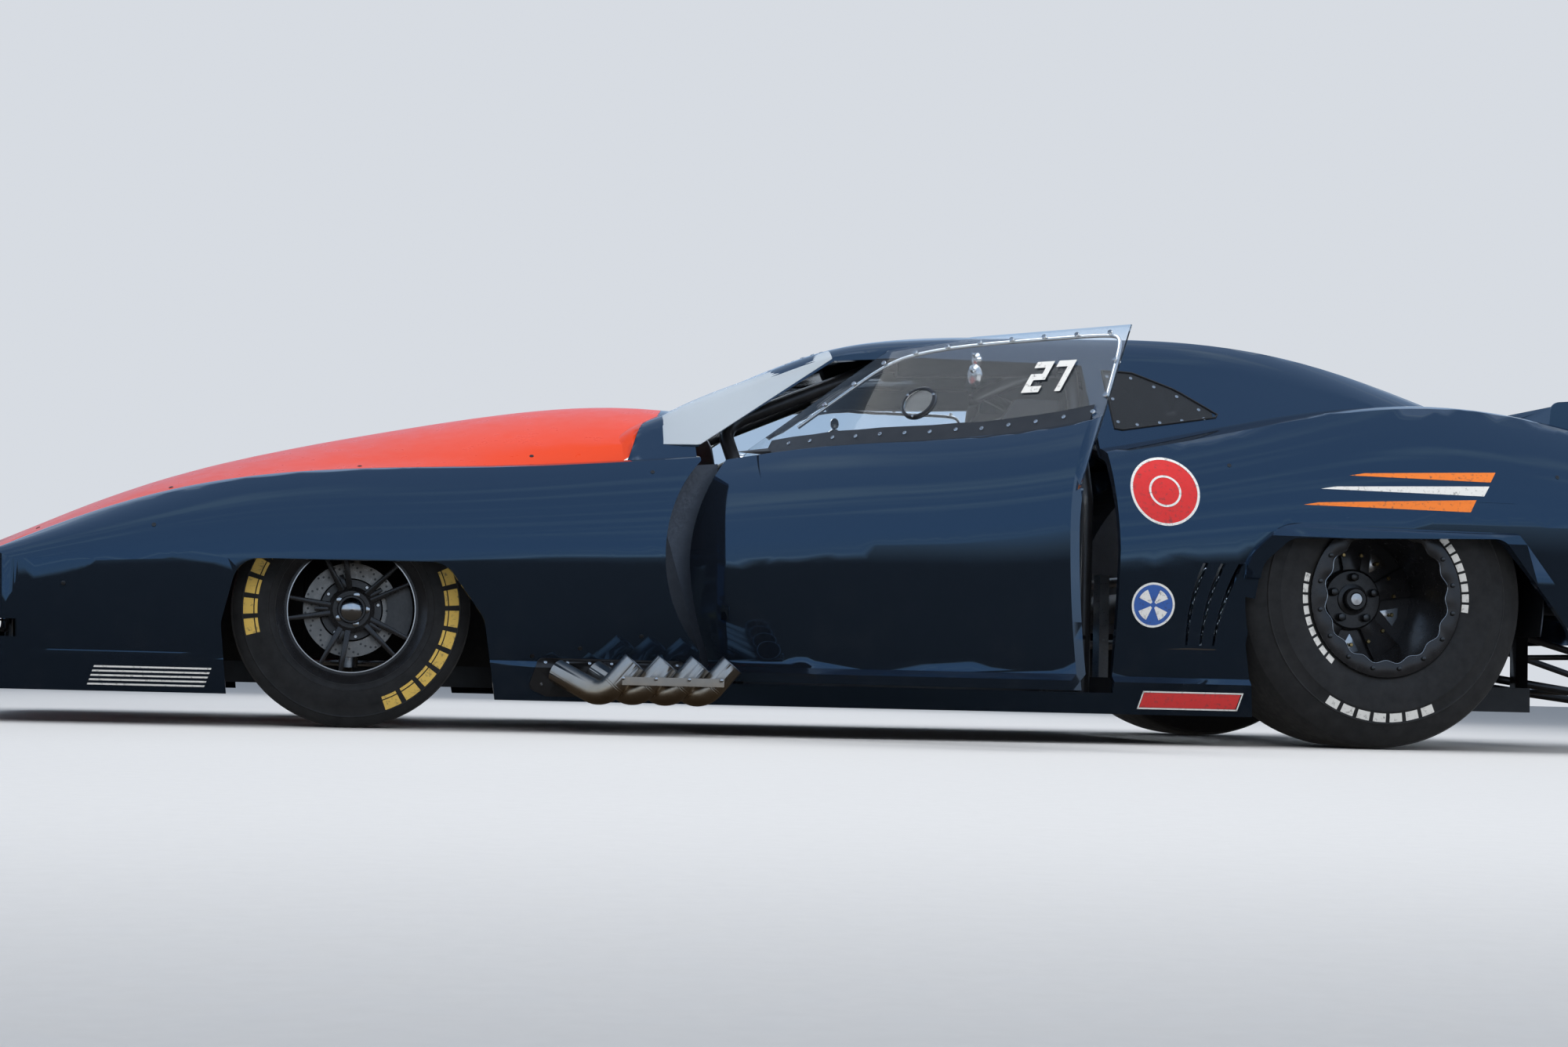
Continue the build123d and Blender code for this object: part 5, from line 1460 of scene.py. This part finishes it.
def laid(name, outlines, nodes, side, rise=0.0008, cell=0.02, thick=0.0005):
    """Flat XZ outlines laid on a side of the car as one thin sheet."""
    sheets = []
    for outline in outlines:
        sheet = outline_piece(name, [(x, 0, z) for x, z in outline])
        edit_all()
        bpy.ops.mesh.edge_face_add()
        bpy.ops.mesh.quads_convert_to_tris()
        bpy.ops.object.mode_set(mode="OBJECT")
        work = bmesh.new()
        work.from_mesh(sheet.data)
        for _ in range(5):
            longest = [e for e in work.edges if e.calc_length() > cell]
            if not longest:
                break
            bmesh.ops.subdivide_edges(work, edges=longest, cuts=1, use_grid_fill=False)
            bmesh.ops.triangulate(work, faces=[f for f in work.faces if len(f.verts) > 3])
        for vertex in work.verts:
            point, _ = on_side(nodes, vertex.co.x, vertex.co.z, side)
            vertex.co.y = (point.y if point else side * 0.9) + side * rise
        work.to_mesh(sheet.data)
        work.free()
        sheets.append(sheet)
    piece = joined(name, sheets)
    tidy_mesh(piece)
    apply_modifier(piece, "SOLIDIFY", thickness=thick, offset=0)
    return piece


def bar_outline(x0, x1, z0, z1, lean=0.0):
    """An upright bar, its top moved along by lean."""
    return [(x0, z0), (x1, z0), (x1 + lean, z1), (x0 + lean, z1)]


def disc_outline(centre, radius, steps=48):
    x, z = centre
    return [(x + radius * cos(2 * pi * k / steps), z + radius * sin(2 * pi * k / steps))
            for k in range(steps)]


def sector(centre, inner, outer, start, end, steps=5):
    x, z = centre
    turns = [start + (end - start) * k / steps for k in range(steps + 1)]
    return ([(x + outer * cos(t), z + outer * sin(t)) for t in turns]
            + [(x + inner * cos(t), z + inner * sin(t)) for t in reversed(turns)])


class DRAGCAR_OT_panel_fasteners(bpy.types.Operator):
    """Quarter-turn heads on the body panels and rivets round the exhaust plates"""

    bl_idname = "dragcar.panel_fasteners"
    bl_label = "Panel fasteners"

    def execute(self, context):
        settings = context.scene.dragcar_fasteners
        body = ("front_clip", "body_shell", "cowl_panel", "deck_lid", "tail_panel", "hood")
        side_places = [(-0.667, 0.714), (0.980, 0.797), (1.978, 0.801), (-0.983, 0.204), (-0.856, 0.228),
                       (-0.692, 0.264), (-2.20, 0.36), (-1.98, 0.52), (2.25, 0.50), (2.30, 0.80)]
        top_places = [(-2.30, 0.55), (-1.95, 0.655), (-1.45, 0.655), (-0.98, 0.655), (1.93, 0.555),
                      (2.17, 0.555),
                      (2.40, 0.555), (2.42, 0.20)]
        spots = met(on_side, body, [(x, z, side) for x, z in side_places for side in (-1, 1)])
        spots += met(on_top, body, [(x, side * y) for x, y in top_places for side in (-1, 1)])
        heads = placed_heads("panel_heads", spots, settings.head_radius)
        dress(heads, finish_of("dark_metal"), "chassis", 35)

        edge = [(-0.955, 0.130), (-0.948, 0.188), (-0.590, 0.188)]
        rivets = met(on_side, ("exhaust_plates",),
                     [(x, z, side) for x, z in along(edge, 0.062) for side in (-1, 1)])
        dress(placed_heads("exhaust_plate_rivets", rivets, 0.0048, 0.0022), finish_of("machined"), "chassis",
              35)
        return {"FINISHED"}


DOOR_WINDOW = ("door_window_right",)


class DRAGCAR_OT_window_trim(bpy.types.Operator):
    """Fastener rows, seals and edge tubes of the windows, with the doors' vents and mirrors"""

    bl_idname = "dragcar.window_trim"
    bl_label = "Window trim"

    def execute(self, context):
        radius = context.scene.dragcar_fasteners.window_head_radius
        self.door_sills(radius)
        self.door_edges(radius)
        self.door_vents()
        self.door_mirrors()
        self.quarter_windows(radius)
        self.windscreen(radius)
        return {"FINISHED"}

    def door_sills(self, radius):
        """A band with a row of heads along the foot of each door window."""
        sill = []
        for step in range(14):
            x = -0.43 + step * 0.079
            z = 0.78
            while z < 0.96:
                glass, _ = on_side(DOOR_WINDOW, x, z, 1)
                panel, _ = on_side(("door_right",), x, z, 1)
                if glass and (panel is None or panel.y < glass.y):
                    break
                z += 0.003
            sill.append((x, z))
        band = [(x, z - 0.006) for x, z in sill] + [(x, z + 0.040) for x, z in reversed(sill)]
        both_doors("window_band", laid("window_band", [band], DOOR_WINDOW, 1, 0.0012, 0.03), "frame_black")
        spots = met(on_side, DOOR_WINDOW, [(x, z + 0.020, 1) for x, z in sill[1:]], 0.0014)
        both_doors("window_heads", placed_heads("window_heads", spots, radius, 0.0026),
                   "machined", 35)

    def door_edges(self, radius):
        """A tube inside each door window's edge, held by clips."""
        loop = [(-0.36, 0.862), (-0.24, 0.944), (-0.10, 1.040), (0.02, 1.062), (0.15, 1.072), (0.36, 1.076),
                (0.575, 1.076), (0.598, 1.060), (0.606, 1.030), (0.612, 0.960), (0.616, 0.900)]
        run = [point for point, _ in met(on_side, DOOR_WINDOW, [(x, z, 1) for x, z in loop], -0.013)]
        both_doors("window_tube", bent_bar("window_tube", run, 0.0055, 3), "machined", 40)
        clips = met(on_side, DOOR_WINDOW, [(x, z, 1) for x, z in along(loop, 0.098)[1:]], 0.0002)
        both_doors("window_clips", placed_heads("window_clips", clips, radius * 1.15, 0.0030),
                   "machined", 35)

    def door_vents(self):
        """A round vent with a flap in each door window."""
        point, normal = on_side(DOOR_WINDOW, 0.050, 0.905, 1)
        turn = Vector((0, 1, 0)).rotation_difference(normal).to_matrix().to_4x4()
        seat = Matrix.Translation(point) @ turn
        ring = turned("vent_ring",
                      [(0.043, 0.004), (0.048, 0.0045), (0.051, 0.002), (0.051, -0.010), (0.046, -0.012),
                                    (0.042, -0.008)], (0, 0, 0), 56)
        ring.data.transform(seat)
        both_doors("vent_ring", ring, "frame_black")
        lugs = placed_heads("vent_lugs", [
            (seat @ Vector((0.0465 * cos(a), 0.0045, 0.0465 * sin(a))), normal) for a in (0.5, 2.6, 4.7)
        ], 0.0040, 0.002)
        both_doors("vent_lugs", lugs, "machined", 35)
        flap = turned("vent_flap", [(AXIS, 0.0015), (0.0425, 0.0015), (0.0425, -0.0005), (AXIS, -0.0005)],
                      (0, 0, 0), 48)
        flap.data.transform(seat)
        both_doors("vent_flap", flap, "polycarbonate")

    def door_mirrors(self):
        """Two small mirrors inside each door window; the rows are x, z and radius."""
        mirrors, glasses = [], []
        for x, z, size in ((0.165, 1.040, 0.019), (0.175, 0.995, 0.030)):
            point, normal = on_side(DOOR_WINDOW, x, z, 1)
            centre = point - normal * 0.030
            facing = Vector((0.35, -0.9, 0.1)).normalized()
            turn = Vector((0, 1, 0)).rotation_difference(facing).to_matrix().to_4x4()
            shell = turned("shell", [(AXIS, -0.010), (size * 0.7, -0.008), (size, -0.001), (size, 0.003),
                                     (size - 0.002, 0.0035), (size - 0.0025, 0.001), (AXIS, 0.001)],
                           (0, 0, 0), 40)
            shell.data.transform(Matrix.Translation(centre) @ turn)
            face = turned("face", [(AXIS, 0.0018), (size - 0.003, 0.0012), (size - 0.003, 0.0004),
                                   (AXIS, 0.0004)], (0, 0, 0), 40)
            face.data.transform(Matrix.Translation(centre) @ turn)
            mirrors += [shell, rod("arm", centre, point + normal * 0.001, 0.003, 12)]
            glasses.append(face)
        both_doors("door_mirrors", joined("door_mirrors", mirrors), "machined")
        both_doors("door_mirror_glass", joined("door_mirror_glass", glasses), "machined")

    def quarter_windows(self, radius):
        """Heads round each quarter window and the seal at its rim."""
        outline = [(0.702, 1.068), (0.772, 1.066), (0.893, 1.022), (1.002, 0.952), (0.708, 0.912)]
        spots = met(on_side, ("quarter_windows",), [(x, z, 1) for x, z in along(outline, 0.072, closed=True)])
        both_sides("quarter_window_heads", placed_heads("quarter_window_heads", spots,
                                                       radius * 0.9, 0.002),
                   "machined", 35)
        rim = [(0.689, 1.085), (0.776, 1.083), (0.902, 1.036), (1.030, 0.957), (0.694, 0.898)]
        rim_places = [(x, z, 1) for x, z in along(rim, 0.03, closed=True)]
        edge = [point for point, _ in met(on_side, ("quarter_windows", "body_shell"), rim_places, 0.0008)]
        both_sides("quarter_window_seal", bent_bar("quarter_window_seal", [*edge, edge[0]], 0.0032, 3, False),
                   "seal", 40)

    def windscreen(self, radius):
        """Heads along the windscreen's edges."""
        glass_nodes = ("windscreen", "body_shell", "cowl_panel")
        side_rows = [-0.545 + step * 0.052 for step in range(9)]
        spots = met(on_top, glass_nodes, [(x, side * (0.552 - 0.136 * (x + 0.584))) for x in side_rows
                                          for side in (-1, 1)])
        spots += met(on_top, ("windscreen",), [
            (x, y) for y in (-0.42, -0.30, -0.18, -0.06, 0.06, 0.18, 0.30, 0.42)
            for x in (-0.135 - (0.016 * (1 - (y / 0.5) ** 2)), -0.478 - 0.06 * (y / 0.5) ** 2)
        ])
        dress(placed_heads("windscreen_heads", spots, radius, 0.0022), finish_of("machined"),
              "chassis", 35)


# Marks on the paint and the windows

def ring_outlines(centre, inner, outer, parts=6):
    step = 2 * pi / parts
    return [sector(centre, inner, outer, k * step, (k + 1) * step, 9) for k in range(parts)]


def frame_outlines(x0, x1, z0, z1, edge, lean=0.0):
    """The four strips round a leaning bar."""
    tilt = lean / (z1 - z0)
    return [bar_outline(x0, x1, z0, z0 + edge, tilt * edge),
            bar_outline(x0 + lean - tilt * edge, x1 + lean - tilt * edge, z1 - edge, z1, tilt * edge),
            bar_outline(x0, x0 + edge, z0, z1, lean), bar_outline(x1 - edge, x1, z0, z1, lean)]


def side_mark(name, outlines, material, layer=0):
    """A mark on both sides of the car; a higher layer lies over a lower one."""
    under = ("body_shell", "sills", "front_clip", "fender_skin_right")
    piece = laid(name, outlines, under, 1, 0.0005 + 0.0004 * layer, 0.03, 0.0003)
    both_sides(name, piece, material, 0)


# Strokes of the plain number, in a 3 by 5 cell: bars from (x, z) to (x, z)
DIGITS = {"2": [(0, 4, 3, 5), (2, 3, 3, 4), (0, 2, 3, 3), (0, 1, 1, 2), (0, 0, 3, 1)],
          "7": [(0, 4, 3, 5), (2, 0, 3, 4)]}


class DRAGCAR_OT_side_marks(bpy.types.Operator):
    """Plain roundels, bars and stripes on the sides, and a plain number on the door windows"""

    bl_idname = "dragcar.side_marks"
    bl_label = "Side marks"

    def execute(self, context):
        red = (0.784, 0.715)
        side_mark("red_roundel", [disc_outline(red, 0.098)], "red_mark")
        side_mark("red_roundel_rings", ring_outlines(red, 0.0925, 0.0995) + ring_outlines(red, 0.040, 0.046),
                  "white_mark", 1)
        blue = (0.748, 0.392)
        side_mark("blue_roundel", [disc_outline(blue, 0.062)], "blue_mark")
        side_mark("blue_roundel_ring", ring_outlines(blue, 0.057, 0.063)
                  + [sector(blue, 0.008, 0.046, k * pi / 2 + 0.4, k * pi / 2 + 1.15, 4) for k in range(4)],
                  "white_mark", 1)
        for name, reach, low, high, finish_name in (
            ("long_stripe", (1.185, 1.690), 0.686, 0.722, "orange_mark"),
            ("middle_stripe", (1.240, 1.735), 0.734, 0.764, "white_mark"),
            ("short_stripe", (1.330, 1.760), 0.776, 0.806, "orange_mark"),
        ):
            start, end = reach
            side_mark(name,
                      [[(start, low + 0.004), (end, low), (end + 0.020, high), (start + 0.045, low + 0.012)]],
                      finish_name)

        side_mark("low_bar", [bar_outline(0.728, 1.018, 0.105, 0.146, 0.008)], "red_mark")
        side_mark("low_bar_edge", frame_outlines(0.722, 1.024, 0.100, 0.151, 0.004, 0.010), "white_mark", 1)
        stripes = [bar_outline(-2.136 + 0.004 * k, -1.838 + 0.004 * k, 0.100 + 0.0115 * k,
                               0.1045 + 0.0115 * k, 0.002)
                   for k in range(5)]
        side_mark("front_stripes", stripes, "white_mark")
        side_mark("quarter_line", [[(0.784, 0.2695), (0.941, 0.2705), (0.941, 0.2735), (0.86, 0.2745)]],
                  "machined")

        strokes = []
        size, slant = 0.0172, 0.22
        for place, digit in enumerate("27"):
            for x0, z0, x1, z1 in DIGITS[digit]:
                corners = [(x0, z0), (x1, z0), (x1, z1), (x0, z1)]
                strokes.append([((x + 3.8 * place) * size + z * size * slant, z * size) for x, z in corners])
        for name, side in SIDES.items():
            outlines = [[(0.421 - side * (x - 0.06), 0.917 + z) for x, z in stroke] for stroke in strokes]
            number = laid("door_number", outlines, ("door_window_right",), 1, 0.0008, 0.03, 0.0003)
            if side < 0:
                shut = number
                number = copied(shut, LEFT_DOOR)
                bpy.data.objects.remove(shut)
            number.name = f"door_number_{name}"
            dress(number, finish_of("white_mark"), f"{name}_door", 0)
        return {"FINISHED"}


# Exhaust

# Each left pipe's outlet, by its place along X
OUTLETS = [-0.722, -0.634, -0.545, -0.458]
PIPE_RADIUS = 0.033


class DRAGCAR_OT_exhaust_welds(bpy.types.Operator):
    """Weld beads and rolled ends on the pipes, and the clips of their brace"""

    bl_idname = "dragcar.exhaust_welds"
    bl_label = "Exhaust welds"

    def execute(self, context):
        beads, ends, clips = [], [], []
        for x in OUTLETS:
            outlet = Vector((x, -0.985, 0.194))
            knee = Vector((x - 0.0789, -0.968, 0.100))
            run = (outlet - knee).normalized()
            turn = run.to_track_quat("Z", "Y").to_euler()
            for reach in (0.0398, 0.0455):
                bpy.ops.mesh.primitive_torus_add(
                    location=knee + run * reach, rotation=turn, major_radius=PIPE_RADIUS,
                    minor_radius=0.0011, major_segments=48, minor_segments=8,
                )
                beads.append(settle(bpy.context.object))
            bpy.ops.mesh.primitive_torus_add(
                location=outlet - run * 0.0008, rotation=turn, major_radius=PIPE_RADIUS - 0.0012,
                minor_radius=0.0016, major_segments=56, minor_segments=10,
            )
            ends.append(settle(bpy.context.object))
            spot = knee + run * 0.072 + Vector((0, -PIPE_RADIUS - 0.004, -0.004))
            clips.append(rod("clip", spot, spot + Vector((0, -0.006, 0)), 0.0045, 16, 0.0008))
        for name, pile, material in (("exhaust_beads", beads, "heat_steel"),
                                     ("exhaust_ends", ends, "bare_steel"),
                                     ("exhaust_clips", clips, "machined")):
            both_sides(name, joined(name, pile), material, 40)
        return {"FINISHED"}


# Cabin and parachute packs

def puffed(piece, amount):
    """Swells a block's flat faces outwards, most at their middles."""
    mesh = piece.data
    low = Vector([min(v.co[i] for v in mesh.vertices) for i in range(3)])
    high = Vector([max(v.co[i] for v in mesh.vertices) for i in range(3)])
    centre, half = (low + high) / 2, (high - low) / 2
    for vertex in mesh.vertices:
        share = [(vertex.co[i] - centre[i]) / half[i] for i in range(3)]
        for axis in range(3):
            if abs(share[axis]) > 0.985:
                others = [share[i] for i in range(3) if i != axis]
                sign = 1 if share[axis] > 0 else -1
                vertex.co[axis] += amount * (1 - others[0] ** 2) * (1 - others[1] ** 2) * sign
    return piece


def cushion(name, size, edge, puff):
    """A stuffed pad about the origin: a finely cut block with soft edges and swollen faces."""
    bpy.ops.mesh.primitive_cube_add(size=1)
    pad = bpy.context.object
    pad.name = name
    pad.scale = [s - 2 * puff for s in size]
    settle(pad)
    edit_all()
    bpy.ops.mesh.subdivide(number_cuts=15)
    bpy.ops.object.mode_set(mode="OBJECT")
    half = Vector(size) / 2 - Vector((puff, puff, puff))
    for vertex in pad.data.vertices:
        core = Vector([max(-half[i] + edge, min(half[i] - edge, vertex.co[i])) for i in range(3)])
        out = vertex.co - core
        if out.length > 1e-6 and sum(abs(c) > edge * 0.02 for c in out) > 1:
            vertex.co = core + out.normalized() * min(edge, out.length)
    puffed(pad, puff)
    return pad


def strap(name, start, end, across, width, thick):
    """A flat run of webbing between two points."""
    start, end = Vector(start), Vector(end)
    across = Vector(across).normalized()
    out = (end - start).cross(across).normalized()
    corners = [start - across * width / 2, start + across * width / 2, end + across * width / 2,
               end - across * width / 2]
    return slab(name, corners, out * thick, thick * 0.3)


def rounded_section(low, high, corner, steps=6):
    """(y, z) points round a rounded rectangle."""
    points = []
    for y, z, first in ((high[0] - corner, high[1] - corner, 0), (low[0] + corner, high[1] - corner, 1),
                        (low[0] + corner, low[1] + corner, 2), (high[0] - corner, low[1] + corner, 3)):
        for k in range(steps + 1):
            angle = pi / 2 * (first + k / steps)
            points.append((y + corner * cos(angle), z + corner * sin(angle)))
    return points


class DRAGCAR_OT_parachute_packs(bpy.types.Operator):
    """Stuffed parachute packs with webbing bands, a flap and pull loops"""

    bl_idname = "dragcar.parachute_packs"
    bl_label = "Parachute packs"

    def execute(self, context):
        low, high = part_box("parachute_packs")
        wide = high.z - low.z
        covers, bands, rings = [], [], []
        for side in (-1, 1):
            y = side * (high.y - wide / 2)
            middle = Vector(((low.x + high.x) / 2, y, (low.z + high.z) / 2))
            pack = cushion("pack", (high.x - low.x, wide - 0.002, wide - 0.002), 0.045, 0.006)
            pack.data.transform(Matrix.Translation(middle))
            covers.append(pack)
            for x in (low.x + 0.055, low.x + 0.165, high.x - 0.085):
                outline = rounded_section((y - wide / 2 + 0.001, low.z + 0.001),
                                          (y + wide / 2 - 0.001, high.z - 0.001), 0.05)
                bands.append(slab("band", [Vector((x, a, b)) for a, b in outline], (0.030, 0, 0), 0.0008))
            bands.append(strap("flap", (high.x - 0.004, y - 0.055, middle.z),
                               (high.x - 0.004, y + 0.055, middle.z),
                               (0, 0, 1), 0.032, 0.003))
            bpy.ops.mesh.primitive_torus_add(location=(high.x + 0.001, y, middle.z - 0.034),
                                             major_radius=0.020,
                                             rotation=(0, pi / 2, 0), minor_radius=0.003, major_segments=32,
                                             minor_segments=8)
            rings.append(settle(bpy.context.object))
        cover = joined("parachute_covers", covers)
        dress(cover, finish_of("pack_cloth"), "chassis", 50, ["parachute_packs"])
        dress(joined("parachute_bands", bands), finish_of("black_webbing"), "chassis", 40)
        dress(joined("parachute_rings", rings), finish_of("machined"), "chassis", 40)
        return {"FINISHED"}


class DRAGCAR_OT_cabin(bpy.types.Operator):
    """Seat pads, belts, cage padding and gauges"""

    bl_idname = "dragcar.cabin"
    bl_label = "Cabin"

    def execute(self, context):
        y = -0.33
        pads = []
        for size, centre, lean in (
            ((0.30, 0.33, 0.045), (0.215, y, 0.279), 3.5), ((0.045, 0.31, 0.42), (0.410, y, 0.555), 8.3),
            ((0.045, 0.26, 0.13), (0.478, y, 0.915), 16.0),
        ):
            pad = cushion("pad", size, 0.018, 0.005)
            pad.data.transform(Matrix.Translation(Vector(centre)) @ Matrix.Rotation(radians(lean), 4, "Y"))
            pads.append(pad)
        for number, pad in enumerate(pads):
            pad.name = f"seat_pad_{number}"
            dress(pad, finish_of("seat_cloth"), "chassis", 50)
        belts = []
        width, thick = 0.05, 0.004
        for side in (-1, 1):
            for (x0, y0, z0), (x1, y1, z1), across in (
                ((0.455, 0.075, 0.865), (0.366, 0.045, 0.345), (0, 1, 0)),
                ((0.366, 0.01, 0.330), (0.330, 0.185, 0.330), (0, 0.15, 1)),
            ):
                belts.append(strap("belt", (x0, y + side * y0, z0), (x1, y + side * y1, z1), across, width,
                                   thick))
        dress(joined("belts", belts), finish_of("blue_webbing"), "chassis", 40)
        buckle = rod("belt_buckle", (0.368, y, 0.335), (0.350, y, 0.335), 0.032, 32, 0.003)
        dress(buckle, finish_of("machined"), "chassis", 35)
        for name, side in SIDES.items():
            run = [(0.585, side * 0.4895, 1.1106), (0.33, side * 0.485, 1.0982), (0.10, side * 0.481, 1.0870)]
            tube = bent_bar(f"cage_pad_{name}", run, 0.036, 6)
            dress(tube, finish_of("seat_cloth"), "chassis", 40)
        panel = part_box("dashboard")[1].x
        bezels, faces = [], []
        for across, z, radius in ((-0.33, 0.775, 0.045), (-0.235, 0.765, 0.027), (-0.425, 0.765, 0.027),
                                  (-0.17, 0.765, 0.027)):
            bezels.append(rod("bezel", (panel - 0.010, across, z), (panel + 0.012, across, z), radius, 40,
                              0.002))
            faces.append(rod("dial", (panel + 0.010, across, z), (panel + 0.0128, across, z),
                             radius - 0.004, 40))
        dress(joined("gauge_cases", bezels), finish_of("machined"), "chassis", 35)
        dress(joined("gauge_faces", faces), finish_of("white_mark"), "chassis", 35)
        return {"FINISHED"}


class DRAGCAR_PT_panel(bpy.types.Panel):
    """Lists the pieces of the dressing"""

    bl_idname = "DRAGCAR_PT_panel"
    bl_label = "Drag car"
    bl_space_type = "VIEW_3D"
    bl_region_type = "UI"
    bl_category = "Drag car"

    def draw(self, context):
        for group, kind in SETTINGS.items():
            box = self.layout.box()
            for name in kind.__annotations__:
                box.prop(getattr(context.scene, group), name)
        for piece in PIECES:
            self.layout.operator(piece.bl_idname)


PIECES = [
    DRAGCAR_OT_stage,
    DRAGCAR_OT_front_tyres,
    DRAGCAR_OT_rear_tyres,
    DRAGCAR_OT_front_wheels,
    DRAGCAR_OT_wheel_liners,
    DRAGCAR_OT_rear_wheels,
    DRAGCAR_OT_finish_panels,
    DRAGCAR_OT_fender_skins,
    DRAGCAR_OT_windscreen_wraps,
    DRAGCAR_OT_panel_fasteners,
    DRAGCAR_OT_window_trim,
    DRAGCAR_OT_side_marks,
    DRAGCAR_OT_exhaust_welds,
    DRAGCAR_OT_parachute_packs,
    DRAGCAR_OT_cabin,
]
CLASSES = [*SETTINGS.values(), *PIECES, DRAGCAR_PT_panel]


def register():
    for each in CLASSES:
        bpy.utils.register_class(each)
    for name, kind in SETTINGS.items():
        setattr(bpy.types.Scene, name, PointerProperty(type=kind))


def unregister():
    for name in SETTINGS:
        delattr(bpy.types.Scene, name)
    for each in reversed(CLASSES):
        bpy.utils.unregister_class(each)


def main():
    register()
    for piece in PIECES:
        group, name = piece.bl_idname.split(".")
        getattr(getattr(bpy.ops, group), name)()


if __name__ == "__main__":
    main()
